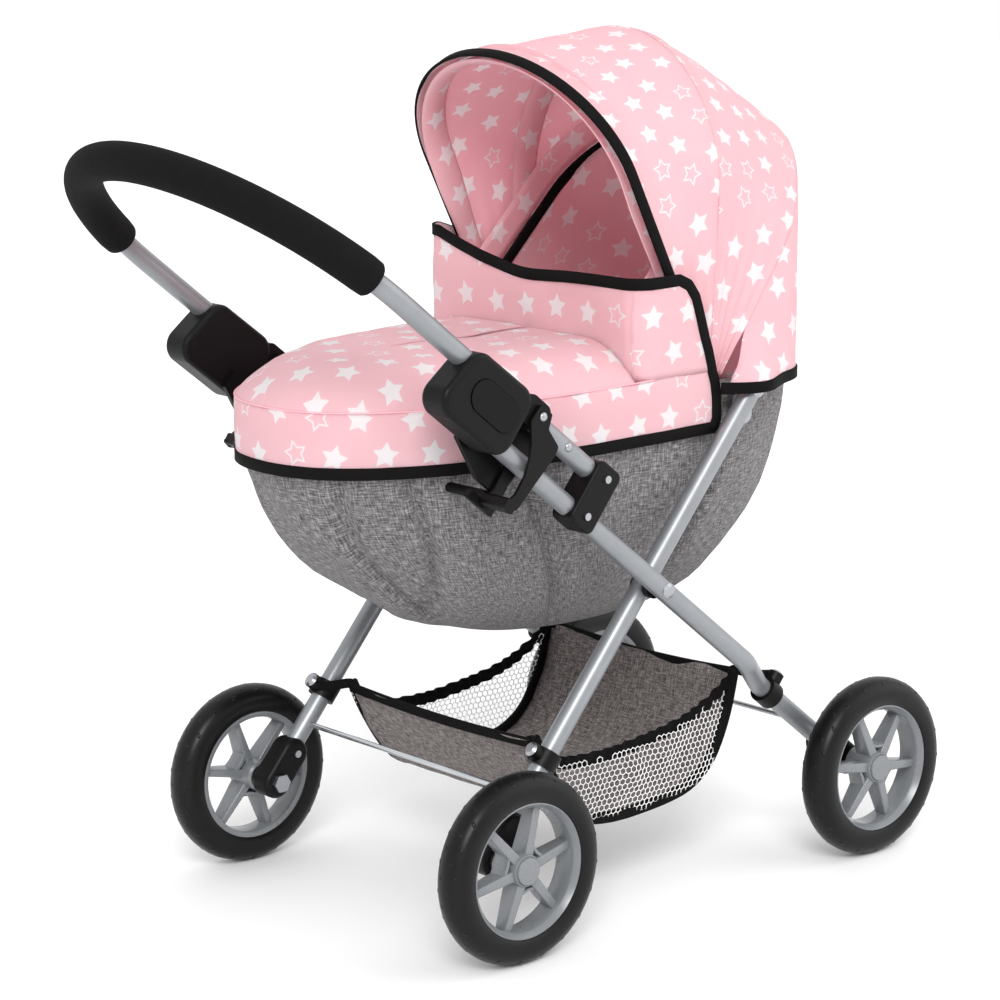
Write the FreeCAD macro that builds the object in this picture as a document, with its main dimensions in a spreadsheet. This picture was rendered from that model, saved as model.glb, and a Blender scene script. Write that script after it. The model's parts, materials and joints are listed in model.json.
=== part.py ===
import FreeCAD, Part
import math
import os
import Sketcher

# A folding doll pram: two crossed tube legs on each side carry a soft tub with a three-bow hood.
# +X points from the push handle towards the hood, +Y to the pram's left, +Z up.
# The origin lies on the floor, under the middle of the pram's length and width.

V = FreeCAD.Vector

# alias, value in millimetres or degrees, meaning
DIMENSIONS = (
    ("WheelRadius", 75, "tyre outside radius, also the axle height"),
    ("TyreWidth", 28, "tyre width"),
    ("TyreRound", 9, "radius of the tyre's shoulders"),
    ("RimRadius", 53.5, "rim outside radius, the tyre's seat"),
    ("RimWall", 4.5, "rim barrel wall"),
    ("RimWidth", 24, "rim barrel width"),
    ("SpokeWidth", 8, "spoke width"),
    ("SpokeDepth", 9, "spoke depth along the axle"),
    ("HubRadius", 13, "hub radius"),
    ("HubInner", 18.5, "hub length from the wheel's middle towards the frame"),
    ("HubOuter", 10.5, "hub length from the wheel's middle outwards"),
    ("CapThickness", 3, "hub cap thickness"),
    ("AxleRadius", 4, "axle bolt radius"),
    ("AxleHead", 8, "axle bolt head radius"),
    ("RunningGap", 0.05, "radial clearance of a turning fit"),
    ("SlideGap", 0.1, "radial clearance of a sliding fit"),
    ("TrackHalf", 170.5, "half the distance between wheel middles"),
    ("Wheelbase", 391, "distance between the axles"),
    ("RearAxleX", -117.56, "rear axle from the origin"),
    ("PushAngle", 39.3, "slope of the front legs and the push handle"),
    ("RearAngle", 49.3, "slope of the rear legs"),
    ("TubeRadius", 8, "frame tube outside radius"),
    ("TubeWall", 1, "frame tube wall"),
    ("FrontPlane", 159, "front leg and handle tubes from the middle plane"),
    ("RearPlane", 137, "rear legs from the middle plane"),
    ("LegTop", 285, "front leg top from the scissor pivot, inside the block"),
    ("LegBottom", 14, "leg end short of the axle"),
    ("RearTop", 193, "rear leg top from the scissor pivot"),
    ("TubPivotReach", 185, "tub pivot from the scissor pivot, along the rear leg"),
    ("BendStart", 120, "start of the front leg's inward jog below the scissor pivot"),
    ("BendEnd", 168, "end of the jog"),
    ("BendRadius", 30, "bend radius of the jog"),
    ("HandleOffset", 33, "handle tube above the leg tube, square to both"),
    ("HandleReach", 515, "top of the handle's bow from the scissor pivot"),
    ("HandleEnd", 106, "lower end of the handle tube, inside the bracket"),
    ("GripStart", 388, "where the foam grip starts"),
    ("GripRadius", 14.8, "foam grip outside radius"),
    ("BlockInner", 145, "inner face of the adjuster block from the middle plane"),
    ("BlockThickness", 28, "adjuster block thickness"),
    ("BlockFillet", 4.5, "edge radius of the adjuster block"),
    ("ButtonLength", 52, "oval button length"),
    ("ButtonHeight", 26, "oval button height"),
    ("ButtonGap", 0.5, "gap round the button"),
    ("ButtonDepth", 3.3, "button thickness"),
    ("RecessDepth", 5, "depth of the button's recess"),
    ("BracketLength", 27, "sliding bracket length along the tubes"),
    ("BracketStart", 103, "lower end of the sliding bracket"),
    ("CheekThickness", 2.6, "lever cheek thickness"),
    ("RodRadius", 2.2, "tie rod radius"),
    ("RodHeight", 117, "tie rods above the floor"),
    ("ClipRadius", 11.5, "basket clip ring radius"),
    ("ClipWidth", 14, "basket clip ring width"),
    ("CupRadius", 6.5, "basket clip cup radius"),
    ("ClipHeight", 141, "rear basket clips above the floor"),
    ("FrontClipReach", 181, "front basket clips from the scissor pivot, down the leg"),
    ("RivetRadius", 3, "rivet shank radius"),
    ("RivetHead", 6, "rivet head radius"),
    ("RivetHeadHeight", 1.8, "rivet head height"),
    ("SpacerRadius", 9, "spacer radius between the crossed legs"),
    ("FootWidth", 22, "foot thickness across the pram"),
    ("PegRadius", 4, "catch peg radius"),
    ("TubHalf", 124, "tub half width at the rim"),
    ("TubFoot", -100, "foot end of the rim from the rear axle"),
    ("TubHead", 385, "head end of the rim from the rear axle"),
    ("TubBottom", 214, "tub bottom above the floor"),
    ("TubShoulder", 373, "height where the tub's walls become upright"),
    ("TubTop", 412, "tub's upper edge above the floor"),
    ("FabricGauge", 2, "thickness of the soft walls"),
    ("RimWireRadius", 2.5, "rim wire and hood bow radius"),
    ("RimWireHeight", 381, "rim wire above the floor"),
    ("BoardThickness", 3, "base board thickness"),
    ("ApronHem", 371, "lower edge of the apron's skirt"),
    ("ApronSeam", 421, "seam between the apron's skirt and top"),
    ("ApronCrown", 452, "highest point of the apron"),
    ("FlapX", 165, "wind flap from the rear axle"),
    ("FlapTop", 503, "upper edge of the wind flap"),
    ("HoodPivotX", 250, "hood pivot from the rear axle"),
    ("HoodPivotZ", 400, "hood pivot above the floor"),
    ("HoodHalf", 122, "hood half width"),
    ("BasketHalf", 112, "basket half width"),
)

doc = FreeCAD.newDocument("DollPram")
sheet = doc.addObject("Spreadsheet::Sheet", "Dimensions")
for row, (alias, value, meaning) in enumerate(DIMENSIONS, start=1):
    sheet.set("A%d" % row, meaning)
    sheet.set("B%d" % row, str(value))
    sheet.setAlias("B%d" % row, alias)
doc.recompute()


def cell(alias):
    """A driving dimension as a number."""
    return float(sheet.get(alias))


def bind(feature, **expressions):
    """Ties properties of a feature to the sheet; a bare alias stands for its cell."""
    for name, text in expressions.items():
        words = text.split()
        bound = ["Dimensions." + word if word[0].isalpha() else word for word in words]
        feature.setExpression(name, " ".join(bound))


# ---------------------------------------------------------------- places

PUSH = math.radians(cell("PushAngle"))
REAR = math.radians(cell("RearAngle"))
AXLE_Z = cell("WheelRadius")
REAR_X = cell("RearAxleX")
FRONT_X = REAR_X + cell("Wheelbase")
# the rear leg rises from the rear axle and the front leg from the front axle; they cross at the pivot
PIVOT_RISE = cell("Wheelbase") * math.tan(PUSH) * math.tan(REAR) / (math.tan(PUSH) + math.tan(REAR))
PIVOT = V(REAR_X + PIVOT_RISE / math.tan(REAR), 0, AXLE_Z + PIVOT_RISE)
FRONT_REACH = PIVOT_RISE / math.sin(PUSH)
REAR_REACH = PIVOT_RISE / math.sin(REAR)
TUB_PIVOT = PIVOT + V(math.cos(REAR), 0, math.sin(REAR)) * cell("TubPivotReach")
HOOD_PIVOT = V(REAR_X + cell("HoodPivotX"), 0, cell("HoodPivotZ"))

# local +X runs down the front leg or up the rear leg, local +Z is square to it and upwards
PUSH_FRAME = FreeCAD.Placement(PIVOT, FreeCAD.Rotation(V(0, 1, 0), cell("PushAngle")))
REAR_FRAME = FreeCAD.Placement(PIVOT, FreeCAD.Rotation(V(0, 1, 0), -cell("RearAngle")))
HANDLE_FRAME = PUSH_FRAME * FreeCAD.Placement(V(0, 0, cell("HandleOffset")), FreeCAD.Rotation())
SOFT_FRAME = FreeCAD.Placement(V(REAR_X, 0, 0), FreeCAD.Rotation())


# ---------------------------------------------------------------- small tools

def rounded_path(points, radius, closed=False):
    """Straight runs joined by tangent arcs, as line segments and arcs through the points."""
    corners = [V(*point) for point in points]
    count = len(corners)
    turns = {}
    for index in range(count):
        if not closed and index in (0, count - 1):
            turns[index] = (corners[index], None, corners[index])
            continue
        corner = corners[index]
        before = (corners[index - 1] - corner).normalize()
        after = (corners[(index + 1) % count] - corner).normalize()
        half = before.getAngle(after) / 2
        reach = radius / math.tan(half)
        middle = corner + (before + after).normalize() * (radius / math.sin(half) - radius)
        turns[index] = (corner + before * reach, middle, corner + after * reach)
    pieces = []
    for index in range(count):
        start, middle, end = turns[index]
        if middle is not None:
            pieces.append(Part.Arc(start, middle, end))
        if index + 1 < count or closed:
            following = turns[(index + 1) % count][0]
            if (following - end).Length > 1e-6:
                pieces.append(Part.LineSegment(end, following))
    return pieces


def stadium(centre, length, height):
    """A slot-shaped outline, long along X, in a sketch's own plane."""
    half = length / 2
    corners = [(-half, -height / 2), (half, -height / 2), (half, height / 2), (-half, height / 2)]
    points = [(centre[0] + x, centre[1] + y, 0) for x, y in corners]
    return rounded_path(points, height / 2 - 1e-4, closed=True)


def flat(points):
    """Two-number points as points of a sketch."""
    return [(x, y, 0) for x, y in points]


def smooth(points):
    """One smooth edge through the points."""
    curve = Part.BSplineCurve()
    curve.interpolate(points)
    return curve.toShape()


def new_body(label, placement=FreeCAD.Placement()):
    body = doc.addObject("PartDesign::Body", label)
    body.Label = label
    body.Placement = placement
    return body


def sketch_on(body, name, role, geometry, offset="0"):
    """A sketch on one of the body's own origin planes, moved along the plane's normal."""
    sketch = body.newObject("Sketcher::SketchObject", name)
    plane = [feature for feature in body.Origin.OriginFeatures if feature.Role == role][0]
    sketch.AttachmentSupport = [(plane, "")]
    sketch.MapMode = "FlatFace"
    bind(sketch, **{"AttachmentOffset.Base.z": offset})
    for piece in geometry:
        sketch.addGeometry(piece)
    return sketch


def ring_sketch(body, name, centre, offset, outer, inner):
    """A tube's section on the plane square to local X; both radii follow the sheet."""
    sketch = sketch_on(body, name, "YZ_Plane", (), offset)
    for index, radius in enumerate((outer, inner)):
        sketch.addGeometry(Part.Circle(V(centre[0], centre[1], 0), V(0, 0, 1), 10 - index))
        number = sketch.addConstraint(Sketcher.Constraint("Radius", index, 10.0 - index))
        bind(sketch, **{"Constraints[%d]" % number: radius})
    return sketch


def add_pad(body, name, geometry, length, offset="0", role="XZ_Plane"):
    pad = body.newObject("PartDesign::Pad", name)
    pad.Profile = sketch_on(body, name + "Sketch", role, geometry, offset)
    bind(pad, Length=length)
    return pad


def add_pocket(body, name, geometry, length, offset):
    pocket = body.newObject("PartDesign::Pocket", name)
    pocket.Profile = sketch_on(body, name + "Sketch", "XZ_Plane", geometry, offset)
    bind(pocket, Length=length)
    return pocket


def add_cylinder(body, kind, name, radius, length, base, axis):
    """A cylinder added to the body or cut from it, from its base along an axis."""
    feature = body.newObject("PartDesign::%sCylinder" % kind, name)
    bind(feature, Radius=radius)
    feature.Height = length
    feature.Placement = FreeCAD.Placement(base, FreeCAD.Rotation(V(0, 0, 1), axis))
    return feature


def add_fillet(body, base, radius, chosen):
    """Rounds the edges of the last feature that the test picks."""
    doc.recompute()
    names = ["Edge%d" % (i + 1) for i, edge in enumerate(base.Shape.Edges) if chosen(edge)]
    fillet = body.newObject("PartDesign::Fillet", "Rounding")
    fillet.Base = (base, names)
    bind(fillet, Radius=radius)
    return fillet


def mirror(source, label):
    """The left-hand twin of a right-hand piece."""
    twin = doc.addObject("Part::Mirroring", label)
    twin.Label = label
    twin.Source = source
    twin.Normal = V(0, 1, 0)
    return twin


def both_sides(label, pieces):
    """Right-hand pieces and their left-hand twins, as one group of separate solids."""
    group = doc.addObject("Part::Compound", label)
    group.Label = label
    group.Links = pieces + [mirror(piece, piece.Name + "Twin") for piece in pieces]
    return group


def pin(name, radius, length, base, axis):
    """A plain round pin."""
    cylinder = doc.addObject("Part::Cylinder", name)
    bind(cylinder, Radius=radius)
    cylinder.Height = length
    cylinder.Placement = FreeCAD.Placement(base, FreeCAD.Rotation(V(0, 0, 1), axis))
    return cylinder


def rivet(name, base, axis, length, heads=(True, True)):
    """A shank with a domed head at one or both ends; the length is between the heads."""
    parts = [pin(name + "Shank", "RivetRadius", length, base, axis)]
    for wanted, place, outwards in ((heads[0], base, axis * -1), (heads[1], base + axis * length, axis)):
        if wanted:
            head = doc.addObject("Part::Cone", name + "Head")
            bind(head, Radius1="RivetHead", Radius2="RivetHead * 0.6", Height="RivetHeadHeight")
            head.Placement = FreeCAD.Placement(place, FreeCAD.Rotation(V(0, 0, 1), outwards))
            parts.append(head)
    whole = doc.addObject("Part::MultiFuse", name)
    whole.Shapes = parts
    return whole


def soft(label, shape):
    """A soft piece, modelled from the rear axle and then put in its place."""
    feature = doc.addObject("Part::Feature", label)
    feature.Label = label
    feature.Shape = shape
    feature.Placement = SOFT_FRAME
    return feature


OUTWARDS = V(0, -1, 0)   # away from the middle plane on the right-hand side


# ---------------------------------------------------------------- frame tubes

def front_leg():
    """The push leg: straight from the block to the scissor pivot, then a jog inwards above the foot."""
    body = new_body("front_leg_right", PUSH_FRAME)
    outer, inner = -cell("FrontPlane"), -cell("RearPlane")
    end = FRONT_REACH - cell("LegBottom")
    route = [(-cell("LegTop"), outer), (cell("BendStart"), outer), (cell("BendEnd"), inner), (end, inner)]
    section = ring_sketch(body, "LegSection", (outer, 0), "0 - LegTop", "TubeRadius",
                          "TubeRadius - TubeWall")
    path = sketch_on(body, "LegPath", "XY_Plane", rounded_path(flat(route), cell("BendRadius")))
    doc.recompute()
    pipe = body.newObject("PartDesign::AdditivePipe", "LegTube")
    pipe.Profile = section
    pipe.Spine = (path, ["Edge%d" % (i + 1) for i in range(5)])
    across = 2 * cell("TubeRadius") + 4
    add_cylinder(body, "Subtractive", "RivetHole", "RivetRadius", across, V(0, outer + across / 2, 0),
                 OUTWARDS)
    return body


def rear_leg():
    """The straight leg from the rear foot to the tub's head end."""
    body = new_body("rear_leg_right", REAR_FRAME)
    start = -REAR_REACH + cell("LegBottom")
    length = cell("RearTop") - start
    base = V(start, -cell("RearPlane"), 0)
    add_cylinder(body, "Additive", "Tube", "TubeRadius", length, base, V(1, 0, 0))
    add_cylinder(body, "Subtractive", "Bore", "TubeRadius - TubeWall", length, base, V(1, 0, 0))
    across = 2 * cell("TubeRadius") + 4
    edge = -cell("RearPlane") + across / 2
    add_cylinder(body, "Subtractive", "ScissorHole", "RivetRadius + RunningGap", across, V(0, edge, 0),
                 OUTWARDS)
    add_cylinder(body, "Subtractive", "TubPivotHole", "RivetRadius", across,
                 V(cell("TubPivotReach"), edge, 0), OUTWARDS)
    return body


def handle_tube():
    """One U-shaped tube: two straight legs that slide in the blocks and a half-round bow."""
    body = new_body("handle_tube", HANDLE_FRAME)
    side, end, top = cell("FrontPlane"), -cell("HandleEnd"), -cell("HandleReach")
    section = ring_sketch(body, "HandleSection", (-side, 0), "0 - HandleEnd", "TubeRadius",
                          "TubeRadius - TubeWall")
    route = [(end, -side), (top, -side), (top, side), (end, side)]
    path = sketch_on(body, "HandlePath", "XY_Plane", rounded_path(flat(route), side))
    doc.recompute()
    pipe = body.newObject("PartDesign::AdditivePipe", "HandleBend")
    pipe.Profile = section
    pipe.Spine = (path, ["Edge%d" % (i + 1) for i in range(len(path.Geometry))])
    return body


def foam_grip():
    """The foam sleeve over the handle's bow."""
    bow = cell("FrontPlane")
    centre = cell("HandleReach") - bow
    start = math.degrees(math.asin((cell("GripStart") - centre) / bow))
    place = HANDLE_FRAME * FreeCAD.Placement(V(-centre, 0, 0), FreeCAD.Rotation(V(0, 0, 1), 90 + start))
    rings = []
    for name, radius in (("GripOuter", "GripRadius"), ("GripInner", "TubeRadius")):
        ring = doc.addObject("Part::Torus", name)
        bind(ring, Radius1="FrontPlane", Radius2=radius)
        ring.Angle3 = 180 - 2 * start
        ring.Placement = place
        rings.append(ring)
    grip = doc.addObject("Part::Cut", "foam_grip")
    grip.Label = "foam_grip"
    grip.Base, grip.Tool = rings
    return grip


def tie_rod(label, x):
    """A thin cross rod whose ends pass into both legs."""
    inside = cell("RearPlane") - cell("TubeRadius") + 2
    rod = pin(label, "RodRadius", 2 * inside, V(x, -inside, cell("RodHeight")), V(0, 1, 0))
    rod.Label = label
    return rod


# ---------------------------------------------------------------- height adjuster and levers

BUTTON_AT = (-249, 17)           # centre of the oval button, in the push frame
LEVER_PIVOT = (-203.6, 35.7)     # lever pivot beside the handle tube


def adjuster_block():
    """The moulded block that grips the leg's top and guides the handle tube."""
    body = new_body("adjuster_block_right", PUSH_FRAME)
    side, up = -cell("FrontPlane"), cell("HandleOffset")
    outline = [(-299, -13), (-215.5, -12), (-216, 45.5), (-286, 44)]
    pad = add_pad(body, "Shell", rounded_path(flat(outline), 15, closed=True), "BlockThickness",
                  "BlockInner")
    add_fillet(body, pad, "BlockFillet", lambda edge: abs(edge.BoundBox.YLength) < 1e-6)
    collar = [(-224, 24), (-194.5, 24), (-194.5, 46), (-224, 46)]
    add_pad(body, "Collar", rounded_path(flat(collar), 8, closed=True), "BlockThickness - 6.8",
            "BlockInner + 3.4")
    add_cylinder(body, "Additive", "Trunnions", "RivetRadius - 0.5", cell("BlockThickness"),
                 V(LEVER_PIVOT[0], -cell("BlockInner"), LEVER_PIVOT[1]), OUTWARDS)
    add_cylinder(body, "Subtractive", "HandleBore", "TubeRadius + SlideGap", 130, V(-310, side, up),
                 V(1, 0, 0))
    socket = V(-cell("LegTop"), side, 0)
    add_cylinder(body, "Subtractive", "LegSocket", "TubeRadius", 100, socket, V(1, 0, 0))
    oval = stadium(BUTTON_AT, cell("ButtonLength") + 2 * cell("ButtonGap"),
                   cell("ButtonHeight") + 2 * cell("ButtonGap"))
    add_pocket(body, "ButtonRecess", oval, "RecessDepth", "BlockInner + BlockThickness")
    spring_well = V(BUTTON_AT[0], -155, BUTTON_AT[1] - 0.5)
    add_cylinder(body, "Subtractive", "SpringWell", "CupRadius - 0.5", 16, spring_well, OUTWARDS)
    return body


def adjuster_button():
    body = new_body("adjuster_button_right", PUSH_FRAME)
    oval = stadium(BUTTON_AT, cell("ButtonLength"), cell("ButtonHeight"))
    add_pad(body, "Oval", oval, "ButtonDepth", "BlockInner + BlockThickness - ButtonDepth + 0.8")
    return body


def slide_bracket():
    """Holds the handle tube's lower end and slides on the leg tube."""
    body = new_body("slide_bracket_right", PUSH_FRAME)
    side, up = -cell("FrontPlane"), cell("HandleOffset")
    low, high = -cell("BracketStart") - cell("BracketLength"), -cell("BracketStart")
    outline = [(low, -10.5), (high, -10.5), (high, up + 10.5), (low, up + 10.5)]
    pad = add_pad(body, "Plate", rounded_path(flat(outline), 6, closed=True), "BlockThickness - 4",
                  "BlockInner + 2")
    add_fillet(body, pad, "BlockFillet / 2", lambda edge: abs(edge.BoundBox.YLength) < 1e-6)
    socket_length = cell("BracketStart") + cell("BracketLength") - cell("HandleEnd")
    add_cylinder(body, "Subtractive", "HandleSocket", "TubeRadius", socket_length + 10,
                 V(low - 10, side, up), V(1, 0, 0))
    add_cylinder(body, "Subtractive", "LegBore", "TubeRadius + SlideGap", 60, V(low - 10, side, 0), V(1,
                                                                                                      0, 0))
    return body


def fold_lever():
    """The fold release: two slim arms beside the leg tube, joined under it by a finger bar."""
    body = new_body("fold_lever_right", PUSH_FRAME)
    arm = [(-211, 42), (-197, 42), (-193, 31), (-176.5, 26), (-175, 19), (-179, -8), (-182, -31), (-187,
                                                                                                   -39.5),
           (-196, -38), (-190.5, -24), (-191, -9), (-195, 4), (-201, 14), (-212, 27)]
    bar = [(-195.5, -29), (-183.5, -29), (-185, -38.5), (-194.5, -38.5)]
    outline = rounded_path(flat(arm), 2, closed=True)
    add_pad(body, "InnerArm", outline, "CheekThickness", "BlockInner + 0.4")
    add_pad(body, "OuterArm", outline, "CheekThickness", "BlockInner + BlockThickness - CheekThickness")
    add_pad(body, "FingerBar", rounded_path(flat(bar), 2, closed=True), "BlockThickness - 0.4",
            "BlockInner + 0.4")
    add_cylinder(body, "Subtractive", "PivotHole", "RivetRadius - 0.5 + RunningGap",
                 cell("BlockThickness") + 4,
                 V(LEVER_PIVOT[0], -cell("BlockInner") + 2, LEVER_PIVOT[1]), OUTWARDS)
    return body


PEG_AT = (-190, -30)             # catch peg at rest, in the push frame


def catch_hook():
    """A hook inside the block; the tub's peg leaves it upwards along the leg when the pram folds."""
    body = new_body("CatchHook", PUSH_FRAME)
    slot = cell("PegRadius") + 0.4
    x, z = PEG_AT
    arm = [(-243, 4), (-221, 10), (-177, -16), (-177, -41), (-207, -41), (-207, z - slot),
           (x + slot, z - slot), (x + slot, z + slot), (-207, z + slot), (-243, -11)]
    lines = [Part.LineSegment(V(*arm[i], 0), V(*arm[(i + 1) % len(arm)], 0)) for i in range(len(arm))]
    add_pad(body, "Arm", lines, "BlockThickness / 6.3", "BlockInner - BlockThickness / 6.3")
    return body


def catch_peg():
    """A peg through the tub's wall that rests in the hook."""
    body = new_body("CatchPeg", PUSH_FRAME)
    inner = cell("TubHalf") - 26
    base = V(PEG_AT[0], -inner, PEG_AT[1])
    add_cylinder(body, "Additive", "Peg", "PegRadius", cell("BlockInner") - 0.7 - inner, base, OUTWARDS)
    return body


# ---------------------------------------------------------------- feet, clips, wheels

def foot(label, frame, reach):
    """A moulded foot on a leg's end; reach is the axle's place along the leg."""
    body = new_body(label, frame)
    side = math.copysign(1, reach)
    centre = (reach - side * 13, 0)
    start = "RearPlane - FootWidth / 2"
    pad = add_pad(body, "Boot", stadium(centre, 54, 26), "FootWidth", start)
    add_fillet(body, pad, "BlockFillet", lambda edge: abs(edge.BoundBox.YLength) < 1e-6)
    boss_base = V(reach, -cell("RearPlane") - cell("FootWidth") / 2, 0)
    add_cylinder(body, "Additive", "HubBoss", "HubRadius - 3", 3.4, boss_base, OUTWARDS)
    socket_end = V(reach - side * cell("LegBottom"), -cell("RearPlane"), 0)
    add_cylinder(body, "Subtractive", "LegSocket", "TubeRadius", 60, socket_end, V(-side, 0, 0))
    axle_base = V(reach, -cell("RearPlane") + cell("FootWidth"), 0)
    add_cylinder(body, "Subtractive", "AxleHole", "AxleRadius", 2 * cell("FootWidth"), axle_base, OUTWARDS)
    return body


def axle_bolt(name, x):
    """A headed bolt from the foot's inner face through the hub."""
    inner = cell("RearPlane") - cell("FootWidth") / 2
    shank = pin(name + "Shank", "AxleRadius", 178 - inner, V(x, -inner, AXLE_Z), OUTWARDS)
    head = doc.addObject("Part::Prism", name + "Head")
    head.Polygon = 6
    bind(head, Circumradius="AxleHead", Height="AxleRadius")
    head.Placement = FreeCAD.Placement(V(x, -inner, AXLE_Z), FreeCAD.Rotation(V(0, 0, 1), V(0, 1, 0)))
    bolt = doc.addObject("Part::MultiFuse", name)
    bolt.Shapes = [shank, head]
    return bolt


def foot_pin(name, frame, reach):
    """The small rivet that holds a foot on its leg."""
    side = math.copysign(1, reach)
    base = frame.multVec(V(reach - side * 28, -cell("RearPlane") + cell("FootWidth") / 2, 0))
    return pin(name, "RivetRadius", cell("RivetHeadHeight"), base, V(0, 1, 0))


def basket_clip(name, frame, along):
    """A ring round a leg with a cup that holds the basket's strap."""
    body = new_body(name, frame)
    side, width = -cell("RearPlane"), cell("ClipWidth")
    add_cylinder(body, "Additive", "Ring", "ClipRadius", width, V(along - width / 2, side, 0), V(1, 0, 0))
    add_cylinder(body, "Additive", "Cup", "CupRadius", 18, V(along, side, 0), V(0, 0, 1))
    add_cylinder(body, "Subtractive", "LegBore", "TubeRadius", width + 20, V(along - width / 2 - 10,
                                                                             side, 0),
                 V(1, 0, 0))
    add_cylinder(body, "Subtractive", "ScrewHole", "RivetRadius", 20, V(along, side, 5), V(0, 0, 1))
    return body


def clip_screw(name, frame, along):
    """The screw in a clip's cup, a shank under a round head."""
    start = cell("TubeRadius") + 0.5
    base = frame.multVec(V(along, -cell("RearPlane"), start))
    up = frame.Rotation.multVec(V(0, 0, 1))
    return rivet(name, base, up, 18 - start, heads=(False, True))


REAR_CLIP = (cell("ClipHeight") - PIVOT.z) / math.sin(REAR)


def wheel_bodies(name, x, side):
    """Rim with six spokes, tyre and hub cap of one wheel; local +Y points outwards."""
    turn = 180 if side < 0 else 0
    place = FreeCAD.Placement(V(x, side * cell("TrackHalf"), AXLE_Z), FreeCAD.Rotation(V(0, 0, 1), turn))
    half = cell("RimWidth") / 2
    outer, hub = cell("RimRadius"), cell("HubRadius")
    inner, bore = outer - cell("RimWall"), cell("AxleRadius") + cell("RunningGap")

    rim = new_body("wheel_rim_" + name, place)
    barrel = [(inner, -half), (outer, -half), (outer, half), (inner, half)]
    hub_outline = [(bore, -cell("HubInner")), (hub, -cell("HubInner")), (hub, cell("HubOuter")),
                   (bore, cell("HubOuter"))]
    for part, corners in (("Barrel", barrel), ("Hub", hub_outline)):
        lines = [Part.LineSegment(V(*corners[i], 0), V(*corners[(i + 1) % 4], 0)) for i in range(4)]
        sketch = sketch_on(rim, part + "Sketch", "XY_Plane", lines)
        turned = rim.newObject("PartDesign::Revolution", part)
        turned.Profile = sketch
        turned.ReferenceAxis = (sketch, ["V_Axis"])
        turned.Angle = 360
        if part == "Barrel":
            # the spokes join barrel and hub, so they come before the hub
            width = cell("SpokeWidth") / 2
            bar = [(hub - 2, -width), (inner + 1, -width), (inner + 1, width), (hub - 2, width)]
            spokes = []
            for number in range(6):
                angle = math.radians(60 * number)
                turned_bar = [(u * math.cos(angle) - w * math.sin(angle),
                               u * math.sin(angle) + w * math.cos(angle))
                              for u, w in bar]
                spokes.append([Part.LineSegment(V(*turned_bar[i], 0), V(*turned_bar[(i + 1) % 4], 0))
                               for i in range(4)])
            lines = [line for spoke in spokes for line in spoke]
            doc.recompute()
            pad = add_pad(rim, "Spokes", lines, "SpokeDepth", "0 - HubOuter")
            pad.AllowMultiFace = True
    ring_bore = V(0, -cell("HubInner") - 1, 0)
    add_cylinder(rim, "Subtractive", "AxleBore", "AxleRadius + RunningGap", 40, ring_bore, V(0, 1, 0))

    tyre = new_body("wheel_tyre_" + name, place)
    width = cell("TyreWidth") / 2
    section = rounded_tyre(outer, cell("WheelRadius"), width, cell("TyreRound"))
    sketch = sketch_on(tyre, "TyreSection", "XY_Plane", section)
    turned = tyre.newObject("PartDesign::Revolution", "Tyre")
    turned.Profile = sketch
    turned.ReferenceAxis = (sketch, ["V_Axis"])
    turned.Angle = 360

    cap = new_body("hub_cap_" + name, place)
    add_cylinder(cap, "Additive", "Disc", "HubRadius", cell("CapThickness"), V(0, cell("HubOuter"), 0),
                 V(0, 1, 0))


def rounded_tyre(inner, outer, half, radius):
    """The tyre's section: a flat seat and a tread with round shoulders."""
    left = Part.LineSegment(V(inner, -half, 0), V(outer - radius, -half, 0))
    right = Part.LineSegment(V(outer - radius, half, 0), V(inner, half, 0))
    lean = radius * math.sqrt(0.5)
    shoulders = []
    for side in (-1, 1):
        centre = V(outer - radius, side * (half - radius), 0)
        flank, crown = centre + V(0, side * radius, 0), centre + V(radius, 0, 0)
        middle = centre + V(lean, side * lean, 0)
        ends = (flank, crown) if side < 0 else (crown, flank)
        shoulders.append(Part.Arc(ends[0], middle, ends[1]))
    tread = Part.LineSegment(V(outer, -half + radius, 0), V(outer, half - radius, 0))
    seat = Part.LineSegment(V(inner, half, 0), V(inner, -half, 0))
    return [left, shoulders[0], tread, shoulders[1], right, seat]


# ---------------------------------------------------------------- tub, apron, flap and hood
# These shapes are worked out from the rear axle; soft() then moves them to their place.

def swell(share, power):
    """How far a wall has swung out at a share of its height, from 0 at the bottom to 1 at the shoulder."""
    return (1 - (1 - min(max(share, 0), 1)) ** power) ** (1 / power)


def tub_outline(height, inset=0, points=48):
    """The closed plan outline of the tub at a height, moved inwards by inset."""
    share = (height - cell("TubBottom")) / (cell("TubShoulder") - cell("TubBottom"))
    foot_end = 110 + (cell("TubFoot") - 110) * swell(share, 1.7) + inset
    head_end = 240 + (cell("TubHead") - 240) * swell(share, 1.8) - inset
    half = 35 + (cell("TubHalf") - 35) * swell(share, 2.2) - inset
    middle, reach = (foot_end + head_end) / 2, (head_end - foot_end) / 2
    corners = []
    for index in range(points):
        angle = 2 * math.pi * index / points
        c, s = math.cos(angle), math.sin(angle)
        squareness = 2 if c > 0 else 0.1
        power = 2.2 + squareness * swell(share, 2)
        corners.append(V(middle + reach * math.copysign(abs(c) ** (2 / power), c),
                         half * math.copysign(abs(s) ** (2 / power), s), height))
    curve = Part.BSplineCurve()
    curve.interpolate(corners, PeriodicFlag=True)
    return Part.Wire(curve.toShape())


def lofted(wires):
    return Part.makeLoft(wires, True, False)


def ruled(wires):
    return Part.makeLoft(wires, True, True)


TUB_LEVELS = (0, 3, 12, 32, 62, 102, 138, 161, 200)   # heights above the tub's bottom


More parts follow.
